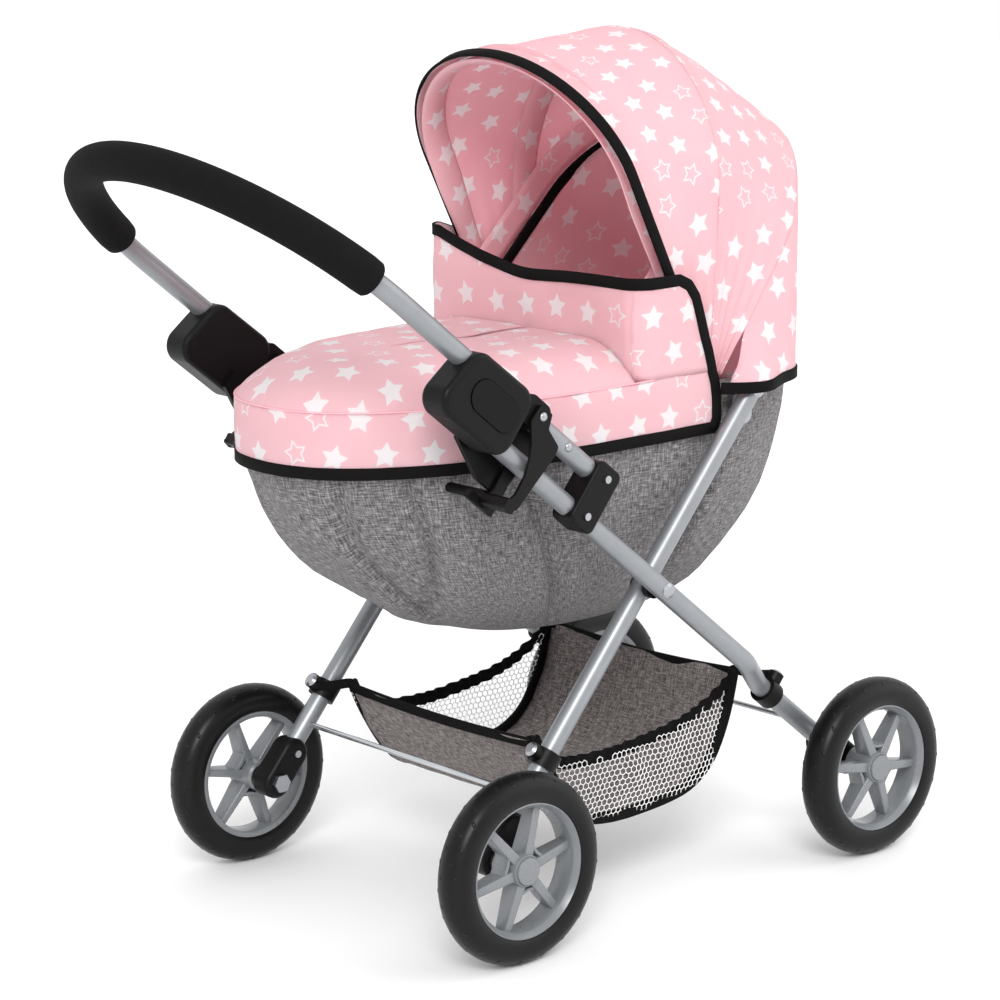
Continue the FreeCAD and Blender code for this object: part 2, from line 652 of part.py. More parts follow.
def tub_shell():
    """The open soft bowl."""
    gauge, bottom = cell("FabricGauge"), cell("TubBottom")
    outer = lofted([tub_outline(bottom + level) for level in TUB_LEVELS])
    inner_levels = [level for level in TUB_LEVELS[1:-1]] + [TUB_LEVELS[-1] + 2]
    inner = lofted([tub_outline(bottom + level, gauge) for level in inner_levels])
    return soft("tub_shell", outer.cut(inner))


def base_board():
    """The stiff board in the tub's bottom."""
    height = cell("TubBottom") + 3.5
    outline = tub_outline(height, inset=6)
    board = Part.Face(outline).extrude(V(0, 0, cell("BoardThickness")))
    return soft("base_board", board)


def rim_wire():
    """The steel wire loop inside the tub's upper edge."""
    radius = cell("RimWireRadius")
    loop = tub_outline(cell("RimWireHeight"), inset=5.5)
    start = loop.Edges[0].valueAt(loop.Edges[0].FirstParameter)
    along = loop.Edges[0].tangentAt(loop.Edges[0].FirstParameter)
    section = Part.Wire(Part.makeCircle(radius, start, along))
    return soft("rim_wire", loop.makePipeShell([section], True, False))


def apron():
    """The cover over the foot half: a skirt outside the tub and a crowned top."""
    gauge, hem, seam, crown = cell("FabricGauge"), cell("ApronHem"), cell("ApronSeam"), cell("ApronCrown")
    out = -1.6 - gauge
    outside = ruled([tub_outline(hem, out), tub_outline(seam, out), tub_outline(seam + 9, out + 2),
                     tub_outline(seam + 17, out + 9), tub_outline(seam + 23, 24), tub_outline(crown, 58)])
    inside = ruled([tub_outline(hem - 1, out + gauge), tub_outline(seam - gauge, out + gauge),
                    tub_outline(seam + 7, out + 5), tub_outline(seam + 15,
                                                                out + 12), tub_outline(seam + 21, 27),
                    tub_outline(crown - gauge, 61)])
    keep = Part.makeBox(400, 400, 200, V(cell("FlapX") - 402, -200, hem))
    return soft("apron", outside.cut(inside).common(keep))


def wind_flap():
    """The upright flap in front of the hood, turned back along both sides."""
    gauge, hem, top = cell("FabricGauge"), cell("ApronHem"), cell("FlapTop")
    x, half = cell("FlapX"), cell("TubHalf") + 4.4
    profile = [(x + 88, -half), (x, -half), (x, half), (x + 88, half)]
    outer = [piece.toShape() for piece in rounded_path([(u, w, hem) for u, w in profile], 16)]
    inner_profile = [(x + 88, half - gauge), (x + gauge, half - gauge), (x + gauge, gauge - half),
                     (x + 88, gauge - half)]
    inner = [piece.toShape() for piece in rounded_path([(u, w, hem) for u, w in inner_profile], 14)]
    caps = [Part.makeLine(V(x + 88, side * half, hem), V(x + 88, side * (half - gauge),
                                                         hem)) for side in (1, -1)]
    plan = Part.Face(Part.Wire(outer + [caps[0]] + inner + [caps[1]]))
    wall = plan.extrude(V(0, 0, top - hem))
    inside_skirt = Part.makeBox(60, 2 * (half - gauge), 434 - hem, V(x - 1, gauge - half, hem))
    slope = [V(x + 90, 0, top + 1), V(x + 64, 0, top + 1), V(x + 88, 0, hem + 20), V(x + 90, 0, hem + 20)]
    behind = Part.Face(Part.makePolygon(slope + slope[:1])).extrude(V(0, 2 * half + 2, 0))
    behind.translate(V(0, -half - 1, 0))
    return soft("wind_flap", wall.cut(inside_skirt).cut(behind))


def bow_point(angle, reach, y):
    """A point in a plane through the hood pivot's axis; the angle is from +X upwards."""
    turn = math.radians(angle)
    return V(cell("HoodPivotX") + reach * math.cos(turn), y, cell("HoodPivotZ") + reach * math.sin(turn))


def arch(angle, half, top, depth, start):
    """Points of a U, right foot to left foot: upright legs from start under half an ellipse."""
    spring = top - depth
    right = [bow_point(angle, start + (spring - start) * step / 4, -half) for step in range(4)]
    round_top = []
    for step in range(21):
        turn = math.pi * (step / 20 - 0.5)
        round_top.append(bow_point(angle, spring + depth * math.cos(turn), half * math.sin(turn)))
    left = [V(point.x, -point.y, point.z) for point in reversed(right)]
    return right + round_top + left


def closed_band(outer, inner):
    """The closed section between two lines of points that run side by side."""
    feet = [Part.makeLine(outer[-1], inner[-1]), Part.makeLine(inner[0], outer[0])]
    return Part.Wire([smooth(outer), feet[0], smooth(inner[::-1]), feet[1]])


def band(angle, half, top, depth, start):
    """The closed section of a hood panel in one plane through the pivot."""
    gauge = cell("FabricGauge")
    outer = arch(angle, half, top, depth, start)
    return closed_band(outer, arch(angle, half - gauge, top - gauge, depth - gauge, start))


# angle from +X, top of the fabric, depth of the arch, bow's own half width
BOWS = {"front": (113.2, 298.5, 103, 116), "middle": (86.4, 285.5, 130, 110.9), "rear": (52.8, 260, 140,
                                                                                         105)}
FRONT_EDGE = (116, 305, 105)
PANEL_START = 34
HEAD_START = 258                 # where the hood's skirt starts behind the wind flap


def hood_panel(label, first, last):
    """The fabric between two planes through the hood pivot."""
    sections = [band(angle, cell("HoodHalf"), top, depth, PANEL_START) for angle, top, depth in (first,
                                                                                                 last)]
    return soft(label, Part.makeLoft(sections, True, True))


def head_plan(height, start, half, inset):
    """Points round the head end of the skirt in plan, from the right to the left."""
    bend_x, end, width = cell("TubHead") - 50, cell("TubHead") + 8 - inset, half - inset
    right = [V(start + (bend_x - start) * step / 4, -width, height) for step in range(4)]
    round_end = []
    for step in range(21):
        turn = math.pi * (step / 20 - 0.5)
        round_end.append(V(bend_x + (end - bend_x) * math.cos(turn), width * math.sin(turn), height))
    left = [V(point.x, -point.y, height) for point in reversed(right)]
    return right + round_end + left


def hood_back():
    """The head end of the hood: from the rear bow down to the skirt round the tub's head."""
    gauge, half, skirt_z = cell("FabricGauge"), cell("TubHalf") + 4.4, cell("TubTop") - 9
    angle, top, depth, _ = BOWS["rear"]
    upper = band(angle - 1.2, cell("HoodHalf"), top, depth, PANEL_START)
    sections = [upper]
    for height, start in ((cell("TubTop") + 2, HEAD_START + 6), (skirt_z, HEAD_START)):
        sections.append(closed_band(head_plan(height, start, half, 0), head_plan(height, start, half,
                                                                                 gauge)))
    panel = Part.makeLoft(sections, True, True)
    pivot = TUB_PIVOT - V(REAR_X, 0, 0)
    pockets, rivet_holes = [], []
    for side in (-1, 1):
        pocket = leg_pocket(30, 27, V(pivot.x + 3, side * (half - 4), pivot.z + 3))
        hollow = leg_pocket(28.5, 25.5, V(pivot.x + 3, side * (half - 4), pivot.z + 3))
        wall = half - gauge / 2
        outside = Part.makeBox(100, 60, 100, V(pivot.x - 50, wall if side > 0 else -wall - 60, skirt_z))
        pockets.append(pocket.cut(hollow).common(outside))
        wall_middle = V(pivot.x, side * half - 10, pivot.z)
        rivet_holes.append(Part.makeCylinder(cell("RivetRadius") + 1, 20, wall_middle, V(0, 1, 0)))
    return soft("hood_back", panel.fuse(pockets).cut(rivet_holes))


def leg_pocket(radius, depth, centre):
    """A round bulge of fabric over a leg's top."""
    ball = Part.makeSphere(radius)
    stretch = FreeCAD.Matrix()
    stretch.scale(V(1, depth / radius, 1))
    shaped = ball.transformGeometry(stretch)
    shaped.translate(centre)
    return shaped


def hood_bow(name):
    """A steel bow with an eyelet at each end on the hood pivot."""
    angle, top, depth, half = BOWS[name]
    wire_radius, clear = cell("RimWireRadius"), 4.8
    line = arch(angle, half, top - clear, depth - clear, 7)
    section = Part.Wire(Part.makeCircle(wire_radius, line[0], line[1] - line[0]))
    shape = Part.Wire(smooth(line)).makePipeShell([section], True, False)
    pivot = bow_point(angle, 0, 0)
    for side in (-1, 1):
        base = pivot + V(0, side * half - 2.2, 0)
        shape = shape.fuse(Part.makeCylinder(8, 4.4, base, V(0, 1, 0)))
    bore = Part.makeCylinder(cell("RivetRadius") + cell("RunningGap"), 300, pivot - V(0, 150, 0), V(0,
                                                                                                    1, 0))
    return soft("hood_bow_" + name, shape.cut(bore))


def hood_rivet():
    """The pivot of the three bows, riveted through the tub's wall."""
    inner = BOWS["rear"][3] - 4
    return rivet("HoodRivet", HOOD_PIVOT - V(0, inner, 0), OUTWARDS, cell("TubHalf") - inner,
                 heads=(True, False))


def hinge_plate():
    """The plate that joins the tub's rim wire to the rear leg."""
    body = new_body("HingePlate", FreeCAD.Placement(TUB_PIVOT, FreeCAD.Rotation()))
    drop = TUB_PIVOT.z - cell("RimWireHeight")
    outline = rounded_path(flat([(-11, -drop - 8), (11, -drop - 8), (11, 10), (-11, 10)]), 8, closed=True)
    add_pad(body, "Plate", outline, "RivetHeadHeight", "TubHalf + 0.3")
    inside_wall = V(0, -cell("TubHalf") + 10.5, 0)
    add_cylinder(body, "Subtractive", "PivotHole", "RivetRadius + RunningGap", 20, inside_wall, OUTWARDS)
    add_cylinder(body, "Additive", "WireStud", "RivetRadius - 0.5", 12, inside_wall + V(0, 0, -drop),
                 OUTWARDS)
    return body


def basket():
    """The strip that makes the rear, bottom and front of the basket, closed by two sides."""
    gauge, half = cell("FabricGauge"), cell("BasketHalf")
    outer = [(64, 150), (101, 66), (250, 66), (292, 168)]
    inner = [(66.6, 150), (102.4, 68), (248.6, 68), (289.6, 168)]
    outline = rounded_path([(x, -half, z) for x, z in outer], 26)
    inline = rounded_path([(x, -half, z) for x, z in reversed(inner)], 24)
    lips = [Part.makeLine(V(outer[-1][0], -half, outer[-1][1]), V(inner[-1][0], -half, inner[-1][1])),
            Part.makeLine(V(inner[0][0], -half, inner[0][1]), V(outer[0][0], -half, outer[0][1]))]
    strip = Part.Face(Part.Wire(Part.__sortEdges__([g.toShape() for g in outline + inline] + lips)))
    shape = strip.extrude(V(0, 2 * half, 0))
    top = Part.makeLine(V(outer[-1][0], -half, outer[-1][1]), V(outer[0][0], -half, outer[0][1]))
    side_face = Part.Face(Part.Wire(Part.__sortEdges__([g.toShape() for g in outline] + [top])))
    for y in (0, 2 * half - gauge):
        side = side_face.extrude(V(0, gauge, 0))
        side.translate(V(0, y, 0))
        shape = shape.fuse(side)
    return soft("basket", shape.removeSplitter())


# ---------------------------------------------------------------- assembly

right_hand = [front_leg(), rear_leg(), adjuster_block(), adjuster_button(), slide_bracket(), fold_lever(),
              foot("front_foot_right", PUSH_FRAME, FRONT_REACH), foot("rear_foot_right", REAR_FRAME,
                                                                      -REAR_REACH)]
left_hand = [mirror(piece, piece.Label.replace("_right", "_left")) for piece in right_hand]

pieces = right_hand + left_hand
pieces += [handle_tube(), foam_grip()]
pieces.append(both_sides("catch_hooks", [catch_hook()]))
pieces.append(both_sides("catch_pegs", [catch_peg()]))

rod_run = (cell("RodHeight") - AXLE_Z)
pieces.append(tie_rod("rear_tie_rod", REAR_X + rod_run / math.tan(REAR)))
pieces.append(tie_rod("front_tie_rod", FRONT_X - rod_run / math.tan(PUSH)))

inside = cell("RearPlane") - cell("TubeRadius") - 0.3
outside = cell("FrontPlane") + cell("TubeRadius")
pieces.append(both_sides("scissor_rivets", [rivet("ScissorRivet", PIVOT - V(0, inside, 0), OUTWARDS,
                                                  outside - inside)]))
gap_start = cell("RearPlane") + cell("TubeRadius") + 0.3
spacer = new_body("ScissorSpacer", FreeCAD.Placement(PIVOT, FreeCAD.Rotation()))
spacer_width = cell("FrontPlane") - cell("TubeRadius") - gap_start
add_cylinder(spacer, "Additive", "Ring", "SpacerRadius", spacer_width, V(0, -gap_start, 0), OUTWARDS)
add_cylinder(spacer, "Subtractive", "Hole", "RivetRadius", spacer_width, V(0, -gap_start, 0), OUTWARDS)
pieces.append(both_sides("scissor_spacers", [spacer]))

tub_side = cell("TubHalf") + 0.25
leg_side = cell("RearPlane") + cell("TubeRadius")
pieces.append(both_sides("tub_pivot_rivets", [rivet("TubRivet", TUB_PIVOT - V(0, tub_side, 0), OUTWARDS,
                                                    leg_side - tub_side, heads=(False, True))]))
pieces.append(both_sides("hinge_plates", [hinge_plate()]))
rivet_side = cell("BlockInner") + cell("BlockThickness") - 2
bracket_middle = -cell("BracketStart") - cell("BracketLength") / 2
bracket_rivets = []
for number, height in enumerate((0, cell("HandleOffset"))):
    base = PUSH_FRAME.multVec(V(bracket_middle, -rivet_side, height))
    bracket_rivets.append(pin("BracketRivet%d" % number, "RivetRadius", cell("RivetHeadHeight"), base,
                              OUTWARDS))
pieces.append(both_sides("bracket_rivets", bracket_rivets))

for end, frame, reach, clip, axle_x in (("front", PUSH_FRAME, FRONT_REACH, cell("FrontClipReach"), FRONT_X),
                                        ("rear", REAR_FRAME, -REAR_REACH, REAR_CLIP, REAR_X)):
    word = end.capitalize()
    pieces.append(both_sides(end + "_basket_clips", [basket_clip(word + "Clip", frame, clip)]))
    pieces.append(both_sides(end + "_leg_screws", [clip_screw(word + "ClipScrew", frame, clip),
                                                   foot_pin(word + "FootPin", frame, reach)]))
    pieces.append(both_sides(end + "_axle_bolts", [axle_bolt(word + "Bolt", axle_x)]))
    for side_name, side in (("right", -1), ("left", 1)):
        wheel_bodies(end + "_" + side_name, axle_x, side)

pieces += [tub_shell(), base_board(), rim_wire(), apron(), wind_flap(), basket(), hood_back()]
middle = BOWS["middle"]
pieces.append(hood_panel("hood_front_panel", FRONT_EDGE, (middle[0] + 0.8,) + middle[1:3]))
pieces.append(hood_panel("hood_rear_panel", (middle[0] - 0.8,) + middle[1:3], BOWS["rear"][:3]))
pieces += [hood_bow(name) for name in BOWS]
pieces.append(both_sides("hood_pivot_rivets", [hood_rivet()]))

doc.recompute()
pieces += [thing for thing in doc.Objects
           if thing.TypeId == "PartDesign::Body" and thing.Label.startswith(("wheel_", "hub_cap_"))]

faults = [thing.Label for thing in doc.Objects if {"Invalid", "Error"} & set(thing.State)]
for piece in pieces:
    if piece.Shape.isNull() or not piece.Shape.isValid() or not piece.Shape.Solids:
        faults.append(piece.Label)
if faults:
    raise RuntimeError("these did not build: %s" % ", ".join(faults))

os.makedirs("parts", exist_ok=True)
for piece in pieces:
    piece.Shape.exportStep("parts/%s.step" % piece.Label)
print("%d pieces written" % len(pieces))
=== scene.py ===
import json
import math

import bmesh
import bpy
from mathutils import Matrix, Vector, noise


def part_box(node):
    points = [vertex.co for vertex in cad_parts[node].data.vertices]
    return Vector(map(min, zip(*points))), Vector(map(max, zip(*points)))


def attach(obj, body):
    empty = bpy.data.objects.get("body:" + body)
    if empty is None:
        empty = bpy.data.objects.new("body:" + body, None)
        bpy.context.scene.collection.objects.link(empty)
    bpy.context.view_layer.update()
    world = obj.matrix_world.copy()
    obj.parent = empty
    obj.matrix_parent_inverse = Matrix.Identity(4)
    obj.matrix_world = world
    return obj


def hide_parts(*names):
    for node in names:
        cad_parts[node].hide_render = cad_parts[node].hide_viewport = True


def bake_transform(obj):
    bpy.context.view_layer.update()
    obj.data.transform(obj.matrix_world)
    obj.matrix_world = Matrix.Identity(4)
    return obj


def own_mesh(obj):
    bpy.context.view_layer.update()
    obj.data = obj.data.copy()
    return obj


bl_info = {
    "name": "Doll Pram",
    "version": (1, 0, 0),
    "blender": (4, 5, 0),
    "location": "View3D > Sidebar > Doll Pram",
    "description": "Sews the fabric, moulds the wheels and finishes the frame of a folding doll pram",
    "category": "Add Mesh",
}

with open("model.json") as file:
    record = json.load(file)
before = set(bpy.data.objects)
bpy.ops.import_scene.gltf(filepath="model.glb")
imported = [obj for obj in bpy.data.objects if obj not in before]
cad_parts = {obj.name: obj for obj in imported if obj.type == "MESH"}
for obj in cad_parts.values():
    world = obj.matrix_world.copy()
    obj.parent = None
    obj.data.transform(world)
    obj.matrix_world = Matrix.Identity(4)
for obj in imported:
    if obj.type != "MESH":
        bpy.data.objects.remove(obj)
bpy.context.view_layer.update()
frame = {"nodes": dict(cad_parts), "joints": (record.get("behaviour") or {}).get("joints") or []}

# ---------------------------------------------------------------- places, read from the frame
# Lengths in this file are millimetres from the floor under the rear axle; at() turns them to metres.

JOINTS = {joint["name"]: joint for joint in frame["joints"]}
ORIGIN_X = JOINTS["wheel_rear_right_roll"]["pos_m"][0]


def at(x, y, z):
    """A place in this file's millimetres, as a point of the frame in metres."""
    return Vector((ORIGIN_X + x / 1000, y / 1000, z / 1000))


def measured(x, y, z):
    """A point of the frame in this file's millimetres: the reverse of at()."""
    return Vector(((x - ORIGIN_X) * 1000, y * 1000, z * 1000))


def joint_place(name):
    return measured(*JOINTS[name]["pos_m"])


def node_box(name):
    """A node's lowest and highest corner."""
    return [measured(*corner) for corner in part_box(name)]


PIVOT = joint_place("fold")
HOOD = joint_place("hood_fold")
TUB_HINGE = joint_place("tub_level")
TUB_LOW, TUB_HIGH = node_box("tub_shell")
APRON_HIGH = node_box("apron")[1]
FLAP_LOW, FLAP_HIGH = node_box("wind_flap")
BASKET_HALF = node_box("basket")[1].y
SKIRT_HALF = APRON_HIGH.y
SEAM_Z = 421                                  # the apron's seam, where its skirt meets its top
SHOULDER_Z = TUB_HIGH.z - 39                  # the tub's walls are upright above this
HEM_Z = 372                                   # the apron's hem on the tub
TUBE_RADIUS = 8

# How steeply the two pairs of legs lean, and the push frame's own directions: down a leg, and square to it.
SLIDE = JOINTS["handle_slide"]["axis"]
PUSH = math.atan2(SLIDE[2], -SLIDE[0])
REAR = math.atan2(TUB_HINGE.z - PIVOT.z, TUB_HINGE.x - PIVOT.x)
DOWN_PUSH = Vector((math.cos(PUSH), 0, -math.sin(PUSH)))
OFF_PUSH = Vector((math.sin(PUSH), 0, math.cos(PUSH)))


# ---------------------------------------------------------------- settings

class PramSizes(bpy.types.PropertyGroup):
    fabric: bpy.props.FloatProperty(name="Fabric", description="Thickness of the covers",
                                    default=0.0014, unit="LENGTH")
    binding: bpy.props.FloatProperty(name="Binding", description="Width of the black edge tape",
                                     default=0.0085, unit="LENGTH")
    star: bpy.props.FloatProperty(name="Star", description="Radius of a printed star's points",
                                  default=0.0108, unit="LENGTH")
    star_pitch: bpy.props.FloatProperty(name="Star pitch", description="Distance between printed stars",
                                        default=0.037, unit="LENGTH")
    net_cell: bpy.props.FloatProperty(name="Net cell", description="Width of one hole of the side nets",
                                      default=0.0052, unit="LENGTH")
    foam: bpy.props.FloatProperty(name="Foam", description="Radius of the grip's foam",
                                  default=0.0147, unit="LENGTH")
    spokes: bpy.props.IntProperty(name="Spokes", description="Spokes in each wheel", default=6, min=3)


class PramColours(bpy.types.PropertyGroup):
    pink: bpy.props.StringProperty(name="Pink", description="Ground of the star print", default="#FFD0D8")
    star: bpy.props.StringProperty(name="Stars", description="Printed stars", default="#FFFBFC")
    tub: bpy.props.StringProperty(name="Tub", description="Melange of the tub", default="#6E6B6C")
    basket: bpy.props.StringProperty(name="Basket", description="Melange of the basket", default="#756D6B")
    tube: bpy.props.StringProperty(name="Tubes", description="Silver paint of the tubes", default="#909396")
    wheel: bpy.props.StringProperty(name="Wheels", description="Grey of the wheel rims", default="#76797C")


def sizes():
    return bpy.context.scene.pram_sizes


def colours():
    return bpy.context.scene.pram_colours


# ---------------------------------------------------------------- meshes

MERGE = 1e-6                 # metres; points nearer than this are one


def deselect():
    if bpy.context.object and bpy.context.object.mode != "OBJECT":
        bpy.ops.object.mode_set(mode="OBJECT")
    bpy.ops.object.select_all(action="DESELECT")


def placed(name, data):
    """A new object in the scene."""
    piece = bpy.data.objects.new(name, data)
    bpy.context.scene.collection.objects.link(piece)
    return piece


def pick(piece):
    """Makes a piece the only selected one."""
    deselect()
    piece.select_set(True)
    bpy.context.view_layer.objects.active = piece


def modified(piece, kind, **settings):
    """Adds a modifier and applies it."""
    pick(piece)
    modifier = piece.modifiers.new(kind.title(), kind)
    for name, value in settings.items():
        setattr(modifier, name, value)
    bpy.ops.object.modifier_apply(modifier=modifier.name)
    return piece


def thick(piece, depth, offset=-1.0):
    return modified(piece, "SOLIDIFY", thickness=depth, offset=offset, use_even_offset=False)


def even(points, count, closed=False):
    """The same line through count evenly spaced points."""
    line = list(points) + ([points[0]] if closed else [])
    lengths = [0.0]
    for first, second in zip(line, line[1:]):
        lengths.append(lengths[-1] + (second - first).length)
    steps = count if closed else count - 1
    result, index = [], 0
    for step in range(count):
        goal = lengths[-1] * step / steps
        while index < len(lengths) - 2 and lengths[index + 1] < goal:
            index += 1
        span = max(lengths[index + 1] - lengths[index], 1e-9)
        result.append(line[index].lerp(line[index + 1], min(max((goal - lengths[index]) / span, 0), 1)))
    return result


def bend(points, count):
    """A smooth curve through a few points, evenly spaced."""
    line = []
    ends = [points[0]] + list(points) + [points[-1]]
    for a, b, c, d in zip(ends, ends[1:], ends[2:], ends[3:]):
        for step in range(12):
            t = step / 12
            line.append(0.5 * ((2 * b) + (c - a) * t + (2 * a - 5 * b + 4 * c - d) * t * t
                               + (3 * b - a - 3 * c + d) * t ** 3))
    line.append(points[-1])
    return even(line, count)


def gridded(name, rows, around=False, cut=None, flip=False):
    """A quad sheet through rows of points in millimetres. Its "cut" map is the flat pattern, in metres."""
    count = len(rows[0])
    width = count + 1 if around else count
    middle = rows[len(rows) // 2]
    run, drop = [0.0], [0.0]
    for j in range(1, width):
        run.append(run[-1] + (middle[j % count] - middle[j - 1]).length)
    for upper, lower in zip(rows, rows[1:]):
        drop.append(drop[-1] + (upper[count // 2] - lower[count // 2]).length)
    faces, corners = [], []
    for i in range(len(rows) - 1):
        for j in range(width - 1):
            ring = [(i, j), (i, j + 1), (i + 1, j + 1), (i + 1, j)]
            if flip:
                ring.reverse()
            faces.append([a * count + b % count for a, b in ring])
            corners += ring
    mesh = bpy.data.meshes.new(name)
    mesh.from_pydata([at(*point) for row in rows for point in row], [], faces)
    layer = mesh.uv_layers.new(name="cut")
    for loop, (i, j) in zip(layer.data, corners):
        u, v = cut(i, j, rows[i][j % count]) if cut else (run[j], drop[i])
        loop.uv = (u / 1000, v / 1000)
    mesh.shade_smooth()
    return placed(name, mesh)


def along(name, path, across, section):
    """Carries a closed section along a path in millimetres; the section holds (across, out) pairs."""
    last = len(path) - 1
    rings = []
    for i, point in enumerate(path):
        tangent = (path[min(i + 1, last)] - path[max(i - 1, 0)]).normalized()
        inward = across[i] if isinstance(across, list) else across
        inward = (inward - tangent * inward.dot(tangent)).normalized()
        out = tangent.cross(inward)
        rings.append([point + inward * a + out * b for a, b in section])
    piece = gridded(name, rings, around=True)
    capped = bmesh.new()
    capped.from_mesh(piece.data)
    bmesh.ops.remove_doubles(capped, verts=capped.verts, dist=MERGE)
    bmesh.ops.holes_fill(capped, edges=[e for e in capped.edges if e.is_boundary])
    bmesh.ops.recalc_face_normals(capped, faces=capped.faces)
    capped.to_mesh(piece.data)
    capped.free()
    return piece


def round_section(radius, sides):
    return [(radius * math.cos(2 * math.pi * k / sides), radius * math.sin(2 * math.pi * k / sides))
            for k in range(sides)]


def tape_section(width, depth=2.6, outside=0.9):
    """A folded tape: flat, with rounded edges, from just outside an edge inwards."""
    half = depth / 2
    return [(-outside, -half * 0.5), (-outside + 0.5, -half), (width * 0.5, -half * 0.9),
            (width - 0.5, -half), (width, -half * 0.5), (width, half * 0.5), (width - 0.5, half),
            (width * 0.5, half * 0.9), (-outside + 0.5, half), (-outside, half * 0.5)]


def binding(name, edge, inward, body=None, section=None):
    """Black tape folded over a fabric's edge."""
    piece = along(name, edge, inward, section or tape_section(sizes().binding * 1000))
    return finished(piece, "polyester_tape", body)


def ripple(point, scale, seed=0.0):
    """Smooth unevenness from -1 to 1; scale is the wave's size in millimetres."""
    return noise.noise(Vector(point) / scale + Vector((seed, 2 * seed, -seed)))


def rumple(piece, amount):
    """Moves each point along its normal by amount(point), all in millimetres."""
    mesh = piece.data
    moves = []
    for vertex in mesh.vertices:
        moves.append(vertex.normal.copy() * amount(measured(*vertex.co)) / 1000)
    for vertex, move in zip(mesh.vertices, moves):
        vertex.co += move
    mesh.update()
    return piece


def finished(piece, finish, body=None, replaces=()):
    """Gives a piece its material, its body and the nodes it stands for."""
    piece.data.materials.clear()
    piece.data.materials.append(bpy.data.materials[finish])
    if replaces:
        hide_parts(*replaces)
    if body:
        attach(piece, body)
    return piece


def sewn(piece, finish, body, nodes=(), depth=None, offset=-1.0):
    """Makes a drawn surface a cover: its thickness and finish, its body and the nodes it stands for.

    The flat size is the extent of its pattern, made longer where that is smaller than the surface.
    """
    thick(piece, depth or sizes().fabric, offset)
    finished(piece, finish, body, nodes)
    return piece


def closed_up(piece, crease):
    """Merges doubles, turns the faces outwards and smooths every edge blunter than crease degrees."""
    pick(piece)
    bpy.ops.object.mode_set(mode="EDIT")
    bpy.ops.mesh.select_all(action="SELECT")
    bpy.ops.mesh.remove_doubles(threshold=MERGE)
    bpy.ops.mesh.normals_make_consistent(inside=False)
    bpy.ops.object.mode_set(mode="OBJECT")
    bpy.ops.object.shade_smooth_by_angle(angle=math.radians(crease))
    return piece


def turned(name, profile, steps=72):
    """A solid of revolution round the Y axis; the profile holds (radius, along) pairs in millimetres."""
    deselect()
    bpy.ops.mesh.primitive_circle_add(vertices=len(profile), radius=0.01)
    piece = bpy.context.object
    piece.name = name
    for vertex, (radius, place) in zip(piece.data.vertices, profile):
        vertex.co = (radius / 1000, place / 1000, 0)
    bpy.ops.object.mode_set(mode="EDIT")
    bpy.ops.mesh.select_all(action="SELECT")
    bpy.ops.mesh.spin(steps=steps, angle=2 * math.pi, center=(0, 0, 0), axis=(0, 1, 0))
    return closed_up(piece, 38)


def joined(pieces, name):
    deselect()
    for piece in pieces:
        piece.select_set(True)
    bpy.context.view_layer.objects.active = pieces[0]
    bpy.ops.object.join()
    pieces[0].name = name
    return pieces[0]


# ---------------------------------------------------------------- materials

def linear(hex_colour):
    """An sRGB hex value as a linear RGBA colour."""
    parts = [int(hex_colour[i:i + 2], 16) / 255 for i in (1, 3, 5)]
    return [p / 12.92 if p <= 0.04045 else ((p + 0.055) / 1.055) ** 2.4 for p in parts] + [1.0]


def add(tree, kind, values=None, links=None):
    """Adds a node, with its settings or input values, and the outputs that feed its inputs."""
    node = tree.nodes.new(kind)
    for key, value in (values or {}).items():
        if isinstance(key, str) and hasattr(node, key):
            setattr(node, key, value)
        else:
            node.inputs[key].default_value = value
    for key, source in (links or {}).items():
        tree.links.new(source, node.inputs[key])
    return node


def new_material(name):
    material = bpy.data.materials.new(name)
    material.use_nodes = True
    tree = material.node_tree
    return tree, tree.nodes["Principled BSDF"]


def maths(tree, operation, first, second=0.0, third=0.0):
    """One math node; each input is a number or an output."""
    node = add(tree, "ShaderNodeMath", {"operation": operation})
    for index, source in enumerate((first, second, third)):
        if isinstance(source, (int, float)):
            node.inputs[index].default_value = source
        else:
            tree.links.new(source, node.inputs[index])
    return node.outputs[0]


def bumped(tree, shader, height, distance, strength=1.0):
    """Feeds a height into a shader's normal; distance is in metres."""
    bump = add(tree, "ShaderNodeBump", {"Strength": strength, "Distance": distance}, {"Height": height})
    tree.links.new(bump.outputs["Normal"], shader.inputs["Normal"])


def object_noise(tree, size, detail=2.0):
    """Noise on object coordinates; size is in metres."""
    place = add(tree, "ShaderNodeTexCoord").outputs["Object"]
    return add(tree, "ShaderNodeTexNoise", {"Scale": 1 / size, "Detail": detail},
               {"Vector": place}).outputs["Fac"]


def plain(name, colour, roughness, grain, depth, metallic=0.0, **sockets):
    """A moulded, painted or foamed surface: one colour, slightly uneven, with a fine grain."""
    tree, shader = new_material(name)
    tone = add(tree, "ShaderNodeMapRange", {"To Min": 0.9, "To Max": 1.1},
               {"Value": object_noise(tree, grain * 14)})
    base = add(tree, "ShaderNodeVectorMath", {"operation": "SCALE", 0: linear(colour)[:3]},
               {"Scale": tone.outputs[0]})
    tree.links.new(base.outputs[0], shader.inputs["Base Color"])
    shader.inputs["Metallic"].default_value = metallic
    worn = add(tree, "ShaderNodeMapRange", {"To Min": roughness - 0.05, "To Max": roughness + 0.07},
               {"Value": object_noise(tree, grain * 6)})
    tree.links.new(worn.outputs[0], shader.inputs["Roughness"])
    for socket, value in sockets.items():
        shader.inputs[socket.replace("_", " ")].default_value = value
    bumped(tree, shader, object_noise(tree, grain, 1.0), depth, 0.6)


